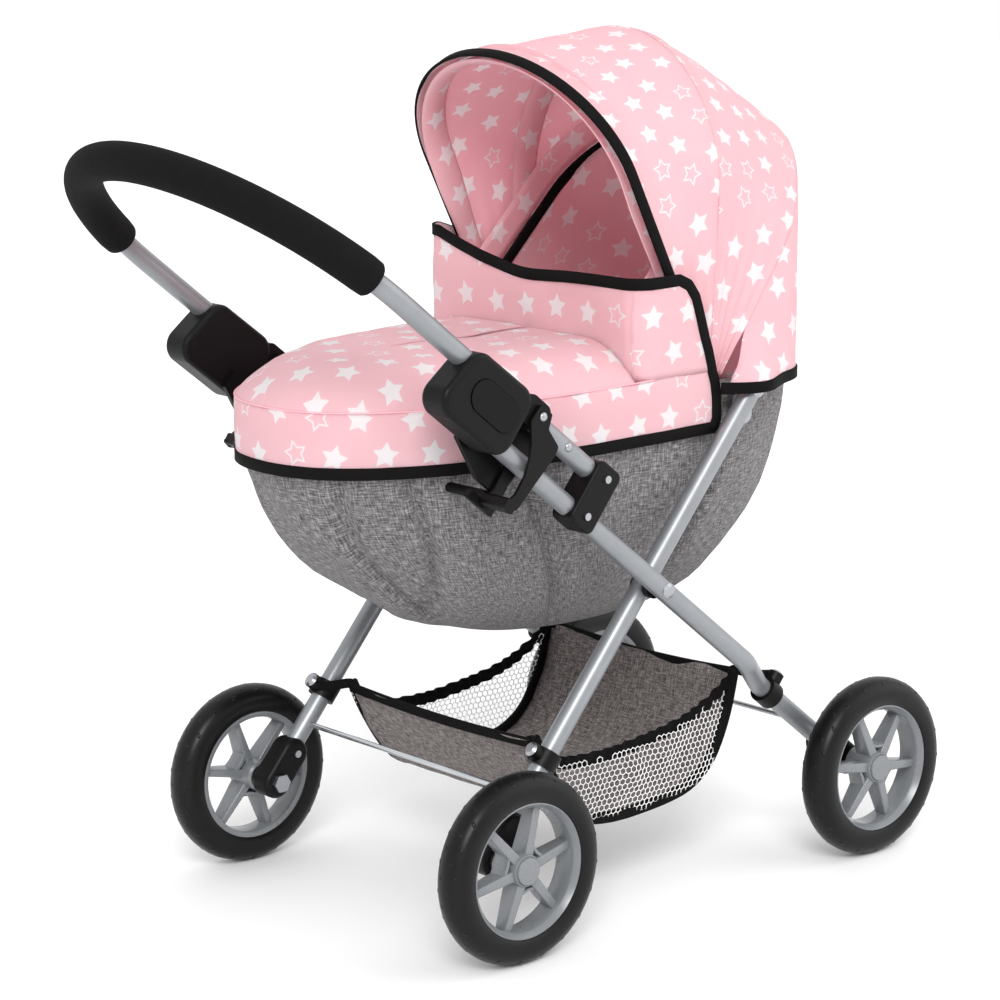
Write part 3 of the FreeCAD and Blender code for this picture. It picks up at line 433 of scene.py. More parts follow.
def star_mask(tree, u, v):
    """Printed five-pointed stars in staggered rows, most of them solid and some only outlined."""
    radius, pitch = sizes().star, sizes().star_pitch
    row_pitch = pitch * 0.82
    down = maths(tree, "DIVIDE", v, row_pitch)
    row = maths(tree, "FLOOR", down)
    shift = maths(tree, "MULTIPLY", maths(tree, "PINGPONG", row, 1.0), 0.5)
    over = maths(tree, "ADD", maths(tree, "DIVIDE", u, pitch), shift)
    column = maths(tree, "FLOOR", over)
    cell = add(tree, "ShaderNodeCombineXYZ", {}, {"X": column, "Y": row})
    chance = add(tree, "ShaderNodeTexWhiteNoise", {"noise_dimensions": "3D"}, {"Vector": cell.outputs[0]})
    draws = add(tree, "ShaderNodeSeparateColor", {}, {"Color": chance.outputs["Color"]}).outputs
    middle_u = maths(tree, "MULTIPLY_ADD", draws[0], 0.26, 0.37)
    middle_v = maths(tree, "MULTIPLY_ADD", draws[2], 0.2, 0.4)
    across = maths(tree, "MULTIPLY", maths(tree, "SUBTRACT", maths(tree, "FRACT", over), middle_u), pitch)
    upward = maths(tree, "MULTIPLY", maths(tree, "SUBTRACT", maths(tree, "FRACT", down), middle_v), row_pitch)
    tilt = maths(tree, "MULTIPLY", maths(tree, "SUBTRACT", chance.outputs["Value"], 0.5), 0.9)
    angle = maths(tree, "ADD", maths(tree, "ARCTAN2", across, upward), tilt)
    fifth = math.pi / 5
    folded = maths(tree, "ABSOLUTE", maths(tree, "WRAP", angle, fifth, -fifth))
    spot = add(tree, "ShaderNodeCombineXYZ", {}, {"X": across, "Y": upward})
    reach = add(tree, "ShaderNodeVectorMath", {"operation": "LENGTH"}, {0: spot.outputs[0]}).outputs["Value"]
    inner = 0.52 * radius
    side = Vector((inner * math.sin(fifth), radius - inner * math.cos(fifth))).normalized()
    along_tip = maths(tree, "MULTIPLY", maths(tree, "MULTIPLY", reach, maths(tree, "COSINE", folded)), side.x)
    beside = maths(tree, "MULTIPLY", maths(tree, "MULTIPLY", reach, maths(tree, "SINE", folded)), side.y)
    distance = maths(tree, "SUBTRACT", maths(tree, "ADD", along_tip, beside), radius * side.x)
    soft, line = 0.00025, 0.0014            # the print's soft edge, and the width of an outline
    outlined_share = 0.25
    solid = add(tree, "ShaderNodeMapRange", {"From Min": soft, "From Max": -soft}, {"Value": distance})
    core = add(tree, "ShaderNodeMapRange", {"From Min": soft - line, "From Max": -soft - line},
               {"Value": distance})
    outlined = maths(tree, "LESS_THAN", draws[1], outlined_share)
    hole = maths(tree, "MULTIPLY", core.outputs[0], outlined)
    return maths(tree, "SUBTRACT", solid.outputs[0], hole)


def weave(tree, u, v, pitch):
    """The height of a plain weave; pitch is the thread spacing in metres."""
    warp = maths(tree, "SINE", maths(tree, "MULTIPLY", u, 2 * math.pi / pitch))
    weft = maths(tree, "SINE", maths(tree, "MULTIPLY", v, 2 * math.pi / pitch))
    return maths(tree, "MULTIPLY", warp, weft)


def pattern_axes(tree):
    flat = add(tree, "ShaderNodeUVMap", {"uv_map": "cut"})
    parts = add(tree, "ShaderNodeSeparateXYZ", {}, {"Vector": flat.outputs[0]})
    return parts.outputs[0], parts.outputs[1]


def printed_polyester():
    """Thin woven polyester with a star print: soft sheen, and daylight shows through it."""
    tree, shader = new_material("printed_polyester")
    u, v = pattern_axes(tree)
    cloud = object_noise(tree, 0.05)
    mask = star_mask(tree, u, v)
    ground = add(tree, "ShaderNodeMix", {"data_type": "RGBA", 6: linear(colours().pink),
                                         7: linear("#FFD9DF")}, {0: cloud})
    colour = add(tree, "ShaderNodeMix", {"data_type": "RGBA", 7: linear(colours().star)},
                 {0: mask, 6: ground.outputs[2]})
    tree.links.new(colour.outputs[2], shader.inputs["Base Color"])
    shader.inputs["Roughness"].default_value = 0.62
    shader.inputs["Sheen Weight"].default_value = 0.25
    shader.inputs["Sheen Roughness"].default_value = 0.4
    threads = weave(tree, u, v, 0.0009)     # real threads are finer; this is the finest that shows
    creases = maths(tree, "MULTIPLY", object_noise(tree, 0.03), 6.0)
    bumped(tree, shader, maths(tree, "ADD", threads, creases), 0.00022, 0.55)
    through = add(tree, "ShaderNodeBsdfTranslucent", {}, {"Color": colour.outputs[2]})
    mixed = add(tree, "ShaderNodeMixShader", {0: 0.42}, {1: shader.outputs[0], 2: through.outputs[0]})
    tree.links.new(mixed.outputs[0], tree.nodes["Material Output"].inputs["Surface"])


def melange(name, colour):
    """Two-tone polyester with the slubs of linen: short light and dark threads both ways."""
    tree, shader = new_material(name)
    u, v = pattern_axes(tree)
    flecks = []
    for long_way, short_way in ((u, v), (v, u)):
        spot = add(tree, "ShaderNodeCombineXYZ", {}, {
            "X": maths(tree, "MULTIPLY", long_way, 120.0), "Y": maths(tree, "MULTIPLY", short_way, 820.0)})
        flecks.append(add(tree, "ShaderNodeTexNoise", {"Scale": 1.0, "Detail": 2.0, "Roughness": 0.6},
                          {"Vector": spot.outputs[0]}).outputs["Fac"])
    threads = maths(tree, "ADD", flecks[0], flecks[1])
    spread = add(tree, "ShaderNodeMapRange", {"From Min": 0.74, "From Max": 1.28}, {"Value": threads})
    ramp = add(tree, "ShaderNodeValToRGB", {}, {"Fac": spread.outputs[0]})
    middle = linear(colour)
    ramp.color_ramp.elements[0].color = [c * 0.22 for c in middle[:3]] + [1]
    ramp.color_ramp.elements[1].color = [min(c * 2.3, 1) for c in middle[:3]] + [1]
    centre = ramp.color_ramp.elements.new(0.5)
    centre.color = middle
    tree.links.new(ramp.outputs[0], shader.inputs["Base Color"])
    shader.inputs["Roughness"].default_value = 0.88
    shader.inputs["Sheen Weight"].default_value = 0.12
    height = maths(tree, "ADD", weave(tree, u, v, 0.0012), maths(tree, "MULTIPLY", spread.outputs[0], 1.2))
    bumped(tree, shader, height, 0.00025, 0.7)


def make_materials():
    """The grain's size and depth are in metres."""
    printed_polyester()
    melange("melange_tub", colours().tub)
    melange("melange_basket", colours().basket)
    # Silver powder paint on steel tube: a broad soft highlight and a very fine orange peel.
    plain("silver_paint", colours().tube, 0.36, 0.0011, 0.00004, 0.6)
    # Black ABS from a spark-eroded mould: a dull skin with a fine grain.
    plain("moulded_abs", "#0B0A0B", 0.4, 0.0007, 0.00006, Specular_IOR_Level=0.16)
    # Black ABS from a polished mould, for the buttons: a tighter highlight and hardly any grain.
    plain("smooth_abs", "#080809", 0.32, 0.002, 0.00003, Specular_IOR_Level=0.14)
    # Skinless EVA foam: matt, with open cells that break up the light.
    plain("eva_foam", "#101011", 0.92, 0.0009, 0.0004, Specular_IOR_Level=0.14)
    # Foamed tyre with a moulded skin: a satin sheen along its shoulders.
    plain("soft_tyre", "#0B0B0C", 0.34, 0.0016, 0.00005, Specular_IOR_Level=0.22)
    # Grey ABS with a little metal flake: a clear, slightly pearly highlight.
    plain("wheel_abs", colours().wheel, 0.27, 0.004, 0.00004, 0.1, Specular_IOR_Level=0.6)
    # Zinc-plated steel: grey metal, slightly cloudy.
    plain("zinc_plate", "#A9ABAF", 0.3, 0.0012, 0.00003, 1.0)
    # Drawn and plated steel wire: a bright, narrow highlight along its length.
    plain("bright_wire", "#C9CCD0", 0.2, 0.002, 0.00002, 1.0)
    # Woven black edge tape: matt, with the ribs of its weave.
    plain("polyester_tape", "#0C0A0A", 0.8, 0.0008, 0.0002, Specular_IOR_Level=0.12)
    # Braided black elastic: matt, with deeper ribs than the tape.
    plain("elastic_braid", "#0C0B0C", 0.86, 0.0007, 0.0004, Specular_IOR_Level=0.12)
    # White warp-knitted yarn of the side nets.
    plain("net_yarn", "#F1F0EF", 0.7, 0.0006, 0.0001)
    # Grey-brown fibre board on the tub's floor.
    plain("board_card", "#B9A9A6", 0.8, 0.001, 0.0001)
    # The pink piping round the apron's seam, plain polyester without the print.
    plain("piping_pink", "#F4B0BA", 0.7, 0.001, 0.0001)


# ---------------------------------------------------------------- the tub's outline

def swell(share, power):
    """How far a wall has swung out at a share of its height, from 0 at the bottom to 1 at the shoulder."""
    return (1 - (1 - min(max(share, 0), 1)) ** power) ** (1 / power)


def tub_outline(height, inset=0.0, end_x=None, count=120):
    """Points round the tub in plan; with end_x, open, from there on the right round the foot end."""
    share = (height - TUB_LOW.z) / (SHOULDER_Z - TUB_LOW.z)
    foot = 110 + (TUB_LOW.x - 110) * swell(share, 1.7) + inset
    head = 240 + (TUB_HIGH.x - 240) * swell(share, 1.8) - inset
    half = 35 + (TUB_HIGH.y - 35) * swell(share, 2.2) - inset
    middle, reach = (foot + head) / 2, (head - foot) / 2
    tall = swell(share, 2)
    start = 0.0
    if end_x is not None:
        start = math.acos(min(max((end_x - middle) / reach, 0), 1) ** ((2.2 + 2 * tall) / 2))
    line = []
    for step in range(481):
        angle = -start - step / 480 * (2 * math.pi - 2 * start)
        c, s = math.cos(angle), math.sin(angle)
        power = 2.2 + (2 if c > 0 else 0.1) * tall
        line.append(Vector((middle + reach * math.copysign(abs(c) ** (2 / power), c),
                            half * math.copysign(abs(s) ** (2 / power), s), height)))
    return even(line[:-1], count, closed=True) if end_x is None else even(line, count)


class PRAM_OT_tub(bpy.types.Operator):
    """Sews the soft tub, with its darts"""
    bl_idname = "pram.tub"
    bl_label = "Tub"

    def execute(self, context):
        low, brim = TUB_LOW.z, 405
        heights = (411, 403, 394, 384, 373, 363, 353, 342, 331, 320, 309, 298, 287, 276, 266, 256, 247, 239,
                   231.5, 224, low + 4, low + 1.2)
        rows = [tub_outline(z, count=420) for z in heights]
        rows += [tub_outline(low + 0.4, inset, count=420) for inset in (6, 14, 22, 29, 33.5)]
        piece = gridded("tub_cover", rows, around=True)

        def darted(point):
            """Soft hollows between the darts, and a narrow crease at each dart."""
            depth = min(max((brim - point.z) / 60, 0), 1) * min(max((point.z - low) / 40, 0), 1)
            crease = 0.0
            for dart_x, slant in ((-52, 0.42), (34, 0.5), (285, -0.42)):
                away = point.x - dart_x - (brim - point.z) * slant
                crease += 2.8 * math.exp(-((away - 14) / 12) ** 2) - 7.5 * math.exp(-(away / 4.6) ** 2)
            if point.x < 40:
                away = abs(point.y) - 66 * (1 - (brim - point.z) / 420)
                crease += 2.6 * math.exp(-((away + 13) / 11) ** 2) - 7.0 * math.exp(-(away / 4.8) ** 2)
            folds = 7.5 * ripple(Vector((point.x, point.y, point.z * 0.5)), 52, 3) - 3.5
            return depth * (crease + folds + 1.6 * ripple(point, 24, 5)) - 0.2

        rumple(piece, darted)
        sewn(piece, "melange_tub", "tub", ["tub_shell"])
        return {"FINISHED"}


# ---------------------------------------------------------------- apron and flap

REAR_EDGE = [Vector((250, 0, 371)), Vector((255, 0, 381)), Vector((255, 0, 397)), Vector((253, 0, 413)),
             Vector((246, 0, 438)), Vector((238, 0, 462)), Vector((231, 0, 484)), Vector((222, 0, 496)),
             Vector((208, 0, 502))]


def rear_edge_x(height):
    """Where the flap's side ends, at a height."""
    for low, high in zip(REAR_EDGE, REAR_EDGE[1:]):
        if low.z <= height <= high.z:
            return low.x + (high.x - low.x) * (height - low.z) / (high.z - low.z)
    return REAR_EDGE[0].x if height < REAR_EDGE[0].z else REAR_EDGE[-1].x


class PRAM_OT_apron(bpy.types.Operator):
    """Sews the apron: its skirt, its puffed top and the tape round its hem"""
    bl_idname = "pram.apron"
    bl_label = "Apron"

    def execute(self, context):
        out = TUB_HIGH.y - SKIRT_HALF
        heights = (HEM_Z, 376, 384, 393, 402, 411, 417, SEAM_Z)
        skirt_rows = [tub_outline(z, out - 0.8 * math.sin((z - 371) / 50 * math.pi), rear_edge_x(z), 220)
                      for z in heights]
        skirt = gridded("apron_skirt", skirt_rows, flip=True)
        rumple(skirt, lambda p: 0.9 * ripple(p, 34, 2) + 0.35 * ripple(p, 13, 8))
        rise = APRON_HIGH.z - SEAM_Z - 1
        insets = (out, out + 1.2, out + 3.5, out + 7, 9, 15, 23, 33, 45, 58, 72, 86, 98, 108, 116, 120.5)
        top_rows = []
        for inset in insets:
            climb = 1 - (1 - min((inset - out) / 62, 1)) ** 2.4
            top_rows.append([Vector((p.x, p.y, SEAM_Z + 0.5 + rise * climb))
                             for p in tub_outline(SEAM_Z, inset, FLAP_LOW.x - 1.2, 170)])
        top = gridded("apron_top", top_rows, flip=True, cut=lambda i, j, p: (p.x, p.y))

        def gathered(point):
            """Small gathers along the seam that fade towards the middle, and broad soft dents."""
            near = math.exp(-max(point.z - SEAM_Z, 0) / 9)
            above = min((point.z - SEAM_Z) / 3, 1)
            return above * (1.6 * near * ripple(Vector((point.x, point.y, 0)), 9, 4)
                            + 2.4 * ripple(point, 75, 6) + 1.1 * ripple(point, 30, 7))

        rumple(top, gathered)
        sewn(skirt, "printed_polyester", "tub", ["apron"])
        sewn(top, "printed_polyester", "tub")
        seam = tub_outline(SEAM_Z + 0.3, out - 0.3, FLAP_LOW.x + 18, 200)
        piping = along("apron_piping", seam, Vector((0, 0, 1)), round_section(0.55, 8))
        finished(piping, "piping_pink", "tub")
        hem = tub_outline(HEM_Z - 0.8, out - 0.4, rear_edge_x(HEM_Z), 220)
        binding("apron_binding", hem, Vector((0, 0, 1)), "tub")
        return {"FINISHED"}


def flap_path(height, count):
    """The flap in plan: back along the right side, round the front and back along the left side."""
    half, front, corner = SKIRT_HALF, FLAP_LOW.x, 16
    rear = rear_edge_x(height)
    line = [Vector((rear, -half, height)), Vector((front + corner, -half, height))]
    line += [Vector((front + corner - corner * math.sin(a), -half + corner - corner * math.cos(a), height))
             for a in [k * math.pi / 16 for k in range(1, 9)]]
    line += [Vector((p.x, -p.y, p.z)) for p in reversed(line)]
    return even(line, count)


def flap_lift(point):
    """How much higher the flap's upper edge is at a place on its left than on its right."""
    left = min(max((point.y + 12) / 122, 0), 1)
    return 21 * left * left * min(max((240 - point.x) / 60, 0), 1)


class PRAM_OT_flap(bpy.types.Operator):
    """Sews the wind flap and the tape round its free edges"""
    bl_idname = "pram.flap"
    bl_label = "Wind flap"

    def execute(self, context):
        count, levels = 180, 15
        rows = []
        for k in range(levels):
            share = k / (levels - 1)
            height = SEAM_Z + (FLAP_HIGH.z - 2 - SEAM_Z) * share
            row = []
            for point in flap_path(height, count):
                sag = 3.5 * math.exp(-(point.y / 45) ** 2) if point.x < FLAP_LOW.x + 4 else 0
                row.append(Vector((point.x, point.y, point.z + (flap_lift(point) - sag) * share)))
            rows.append(row)

        def cut(i, j, point):
            """Down the side the print follows X, and across the front it follows Y."""
            front = FLAP_LOW.x
            if abs(point.y) < SKIRT_HALF - 8:
                return point.y + front + SKIRT_HALF, point.z
            return front - (point.x - front) if point.y < 0 else 2 * SKIRT_HALF + point.x, point.z

        piece = gridded("flap_cover", rows, cut=cut, flip=True)

        def slack(point):
            """The flap billows more the higher it stands over its seam."""
            free = min(max((point.z - SEAM_Z) / 60, 0), 1)
            billow = 2.6 * ripple(point, 55, 9) + 0.9 * ripple(point, 22, 12)
            return free * billow + 0.8 * ripple(point, 30, 2)

        rumple(piece, slack)
        place = [measured(*vertex.co) for vertex in piece.data.vertices]
        top = place[-count:]
        right_side = [place[k * count] for k in range(levels - 1)]
        left_side = [place[(k + 1) * count - 1] for k in range(levels - 1)]
        sewn(piece, "printed_polyester", "tub", ["wind_flap"])
        skirt_edge = [Vector((rear_edge_x(z), SKIRT_HALF + 0.6, z)) for z in (HEM_Z, 381, 391, 401, 411)]
        right = [Vector((p.x, -p.y, p.z)) for p in skirt_edge] + right_side
        loop = even(right + top + list(reversed(skirt_edge + left_side)), 260)
        inwards = []
        for point in loop:
            if point.z < FLAP_HIGH.z - 26:
                inwards.append(Vector((-1, 0, 0.25)))
            elif point.x > FLAP_LOW.x + 30:
                inwards.append(Vector((-0.5, 0, -1)))
            else:
                inwards.append(Vector((0, 0, -1)))
        binding("flap_binding", loop, inwards, "tub")
        return {"FINISHED"}


# ---------------------------------------------------------------- hood

FRONT_EDGE = (116.0, 301.0, 101.5)       # angle from +X, top of the arch, depth of its round part
MIDDLE_BOW = (86.4, 285.5, 132.0)
REAR_BOW = (52.8, 260.0, 140.0)
HOOD_HALF = node_box("hood_front_panel")[1].y
ARCH_START = 19                          # from the pivot to the foot of each arch
GORE_DIP = 9.0                           # how far the fabric dips between two bows
HOOD_HEM = 403                           # height of the hood's hem on the tub
THIN = 0.0008                            # metres; the lining and the sleeves are thinner cloth


def half_turn(steps):
    """Angles from -90 to 90 degrees, without the two ends."""
    return [math.pi * (k / steps - 0.5) for k in range(1, steps)]


def arch(angle, top, depth, half=HOOD_HALF, count=90):
    """The hood's line in a plane through its pivot, from the right foot over to the left foot."""
    turn = math.radians(angle)
    spring = top - depth
    flat_line = [Vector((ARCH_START, -half)), Vector((spring, -half))]
    flat_line += [Vector((spring + depth * math.cos(t), half * math.sin(t))) for t in half_turn(48)]
    flat_line += [Vector((spring, half)), Vector((ARCH_START, half))]
    line = [Vector((HOOD.x + p.x * math.cos(turn), p.y, HOOD.z + p.x * math.sin(turn))) for p in flat_line]
    return even(line, count)


def mixed_arch(first, second, share, count):
    """An arch between two others; the fabric dips a little between its bows."""
    angle, top, depth = [a + (b - a) * share for a, b in zip(first, second)]
    hollow = math.sin(math.pi * share) * GORE_DIP
    return arch(angle, top - hollow, depth - hollow * 0.5, HOOD_HALF - hollow * 0.35, count=count)


def gore_cut(first, second):
    """Flat pattern of a hood gore: straight threads along its middle, arcs at its bows."""
    middle = math.radians((first[0] + second[0]) / 2)

    def cut(i, j, point):
        local = Vector((point.x - HOOD.x, point.z - HOOD.z))
        reach = local.length
        lean = math.atan2(local.y, local.x) - middle
        over = (HOOD_HALF - abs(point.y)) * 1.05
        side = -1 if point.y < 0 else 1
        return side * (-(reach * math.cos(lean)) - over) + side * 400, reach * math.sin(lean)

    return cut


def hood_cover(name, first, second, seed, node):
    """One gore, between two bows."""
    rows = [mixed_arch(first, second, k / 40, 130) for k in range(41)]
    piece = gridded(name, rows, cut=gore_cut(first, second), flip=True)

    def drawn(point):
        """Pulls run up from the pivots; the rest is taut, with a sewn line beside each bow."""
        low = math.exp(-max(point.z - HOOD.z - 30, 0) / 60)
        local = math.degrees(math.atan2(point.z - HOOD.z, point.x - HOOD.x))
        stitches = sum(math.exp(-((local - sewn_line) / 0.5) ** 2) for sewn_line in (110.6, 82.5))
        return (1.5 * low * math.sin(local * 0.9 + seed) + 1.3 * ripple(point, 48, seed)
                + 0.6 * ripple(point, 19, seed + 3) - 0.9 * stitches)

    rumple(piece, drawn)
    sewn(piece, "printed_polyester", None, [node])
    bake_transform(piece)


class PRAM_OT_hood(bpy.types.Operator):
    """Sews the hood's two gores, its back, its lining and its tapes"""
    bl_idname = "pram.hood"
    bl_label = "Hood"

    def execute(self, context):
        hood_cover("hood_front_cover", FRONT_EDGE, MIDDLE_BOW, 1.7, "hood_front_panel")
        hood_cover("hood_rear_cover", MIDDLE_BOW, REAR_BOW, 4.2, "hood_rear_panel")
        self.back()
        lean = math.radians(FRONT_EDGE[0])
        inward = Vector((math.sin(lean), 0, -math.cos(lean)))
        binding("hood_binding", arch(*FRONT_EDGE, count=200), inward, "hood_front")
        self.sleeve("sleeve_front", 113.2, 289.5, 98, 112, "hood_front")
        self.sleeve("sleeve_middle", 86.4, 276.5, 124, 107.5, "hood_middle")
        return {"FINISHED"}

    def back(self):
        """From the rear bow down to a hem round the tub's head end, swollen over the tub's hinges."""
        count = 170
        upper = arch(*REAR_BOW, count=count)
        end, bend_x, start, half = TUB_HIGH.x + 4, TUB_HIGH.x - 58, 250, SKIRT_HALF + 0.2
        plan = [Vector((start, -half, HOOD_HEM)), Vector((bend_x, -half, HOOD_HEM))]
        plan += [Vector((bend_x + (end - bend_x) * math.cos(t), half * math.sin(t), HOOD_HEM))
                 for t in half_turn(40)]
        plan += [Vector((bend_x, half, HOOD_HEM)), Vector((start, half, HOOD_HEM))]
        lower = [Vector((p.x, p.y, p.z - 7 * (1 - math.exp(-((abs(p.y) - half) / 70) ** 2))))
                 for p in even(plan, count)]
        run = [0.0]
        for a, b in zip(lower, lower[1:]):
            run.append(run[-1] + (b - a).length)
        rows = []
        for k in range(25):
            share = k / 24
            belly = 2 * math.sin(math.pi * share)
            row = []
            for high, foot in zip(upper, lower):
                point = high.lerp(foot, share)
                outward = Vector((max(point.x - 290, 0) / 100, point.y / half, 0))
                point += outward.normalized() * belly if outward.length > 0.3 else Vector()
                bulge = 24 * math.exp(-((point.x - TUB_HINGE.x - 3) / 32) ** 2 - ((point.z - 409) / 25) ** 2)
                if abs(point.y) > 90:
                    point.y += math.copysign(bulge, point.y)
                row.append(point)
            rows.append(row)
        piece = gridded("hood_back_cover", rows, flip=True,
                        cut=lambda i, j, p: (run[j], -(rows[i][j] - rows[-1][j]).length))
        rumple(piece, lambda p: 1.3 * ripple(p, 50, 11) + 0.5 * ripple(p, 20, 14))
        hem = [measured(*vertex.co) for vertex in piece.data.vertices[-count:]]
        sewn(piece, "printed_polyester", "tub", ["hood_back"])
        binding("hood_back_binding", hem, Vector((0, 0, 1)), "tub")
        self.lining(plan)

    def lining(self, plan):
        """The back panel's inner layer: a bound edge that rises at 45 degrees, and the rear bow's sleeve."""
        rise = Vector((1, 0, 1)).normalized()
        square = Vector((-1, 0, 1)).normalized()
        foot_x, foot_z, straight = 214, 474, 95

        def inner_edge(half, depth, lift, count):
            """Straight from each foot, then round; lift moves it up and towards the tub's foot end."""
            right, left = Vector((foot_x, -half, foot_z)), Vector((foot_x, half, foot_z))
            line = [right, right + rise * straight]
            line += [Vector((foot_x, half * math.sin(t), foot_z)) + rise * (straight + depth * math.cos(t))
                     for t in half_turn(40)]
            line += [left + rise * straight, left]
            return [p + square * lift for p in even(line, count)]

        high = inner_edge(100, 92, 0, 90)
        low = [Vector((p.x - 8, p.y * 0.8, HOOD_HEM + 1)) for p in even(plan, 90)]
        rows = [[a.lerp(b, k / 12) for a, b in zip(high, low)] for k in range(13)]
        band = [inner_edge(101, 93, lift, 90) for lift in (3, 9, 15, 21, 27)]
        for name, lines in (("hood_lining", rows), ("sleeve_rear", band)):
            sewn(gridded(name, lines), "printed_polyester", "tub",
                 depth=THIN)
        binding("lining_binding", inner_edge(100, 92, 1, 160), square * -1, "tub")

    def sleeve(self, name, angle, top, depth, half, body):
        """A band sewn inside the cover that holds a bow; nearer the pivot than full it narrows."""
        turn = math.radians(angle)
        square = Vector((-math.sin(turn), 0, math.cos(turn)))
        full = 170
        rows = []
        for across, lift in ((-13, 7), (-11, 3), (-6, 0), (0, -0.5), (6, 0), (11, 3), (13, 7)):
            line = arch(angle, top + lift, depth + lift * 0.8, half + lift * 0.5, count=120)
            rows.append([p + square * across * min((p - Vector((HOOD.x, p.y, HOOD.z))).length / full, 1)
                         for p in line])
        sewn(gridded(name, rows), "printed_polyester", body,
             depth=THIN)


# ---------------------------------------------------------------- basket

def basket_profile(count):
    """The basket's side view: rear lip, bottom and front lip."""
    corners = [(65, 150), (79, 121), (99, 90), (119, 73), (142, 67.4), (172, 66.6), (214, 70), (240, 77),
               (262, 94), (279, 126), (290, 165)]
    return bend([Vector((x, 0, z)) for x, z in corners], count)


ELASTIC = [Vector((x, 0, z)) for x, z in ((68, 148), (90, 127), (138, 122), (182, 125), (227, 132),
                                          (261, 145), (288, 163))]
CLIP_HALF, CLIP_OFF = 137, 17            # the basket's clips: from the middle plane, and off their legs' axes
REAR_CLIP, FRONT_CLIP = 164, 181         # from the scissor pivot down each leg to its clip


def lip_row(point, lift=0.0):
    """A line across the basket at a point of its side view; near the lips it hangs lower in the middle."""
    dip = 5 * max(0, (point.z - 120) / 45)
    return [Vector((point.x, y, point.z - dip * math.cos(math.pi * y / BASKET_HALF / 2) + lift))
            for y in [BASKET_HALF * (k / 30 - 1) for k in range(61)]]


def squashed(piece):
    """The basket moves with the push frame: each piece is attached to it, with a mesh of its own."""
    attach(piece, "push_frame")
    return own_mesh(piece)


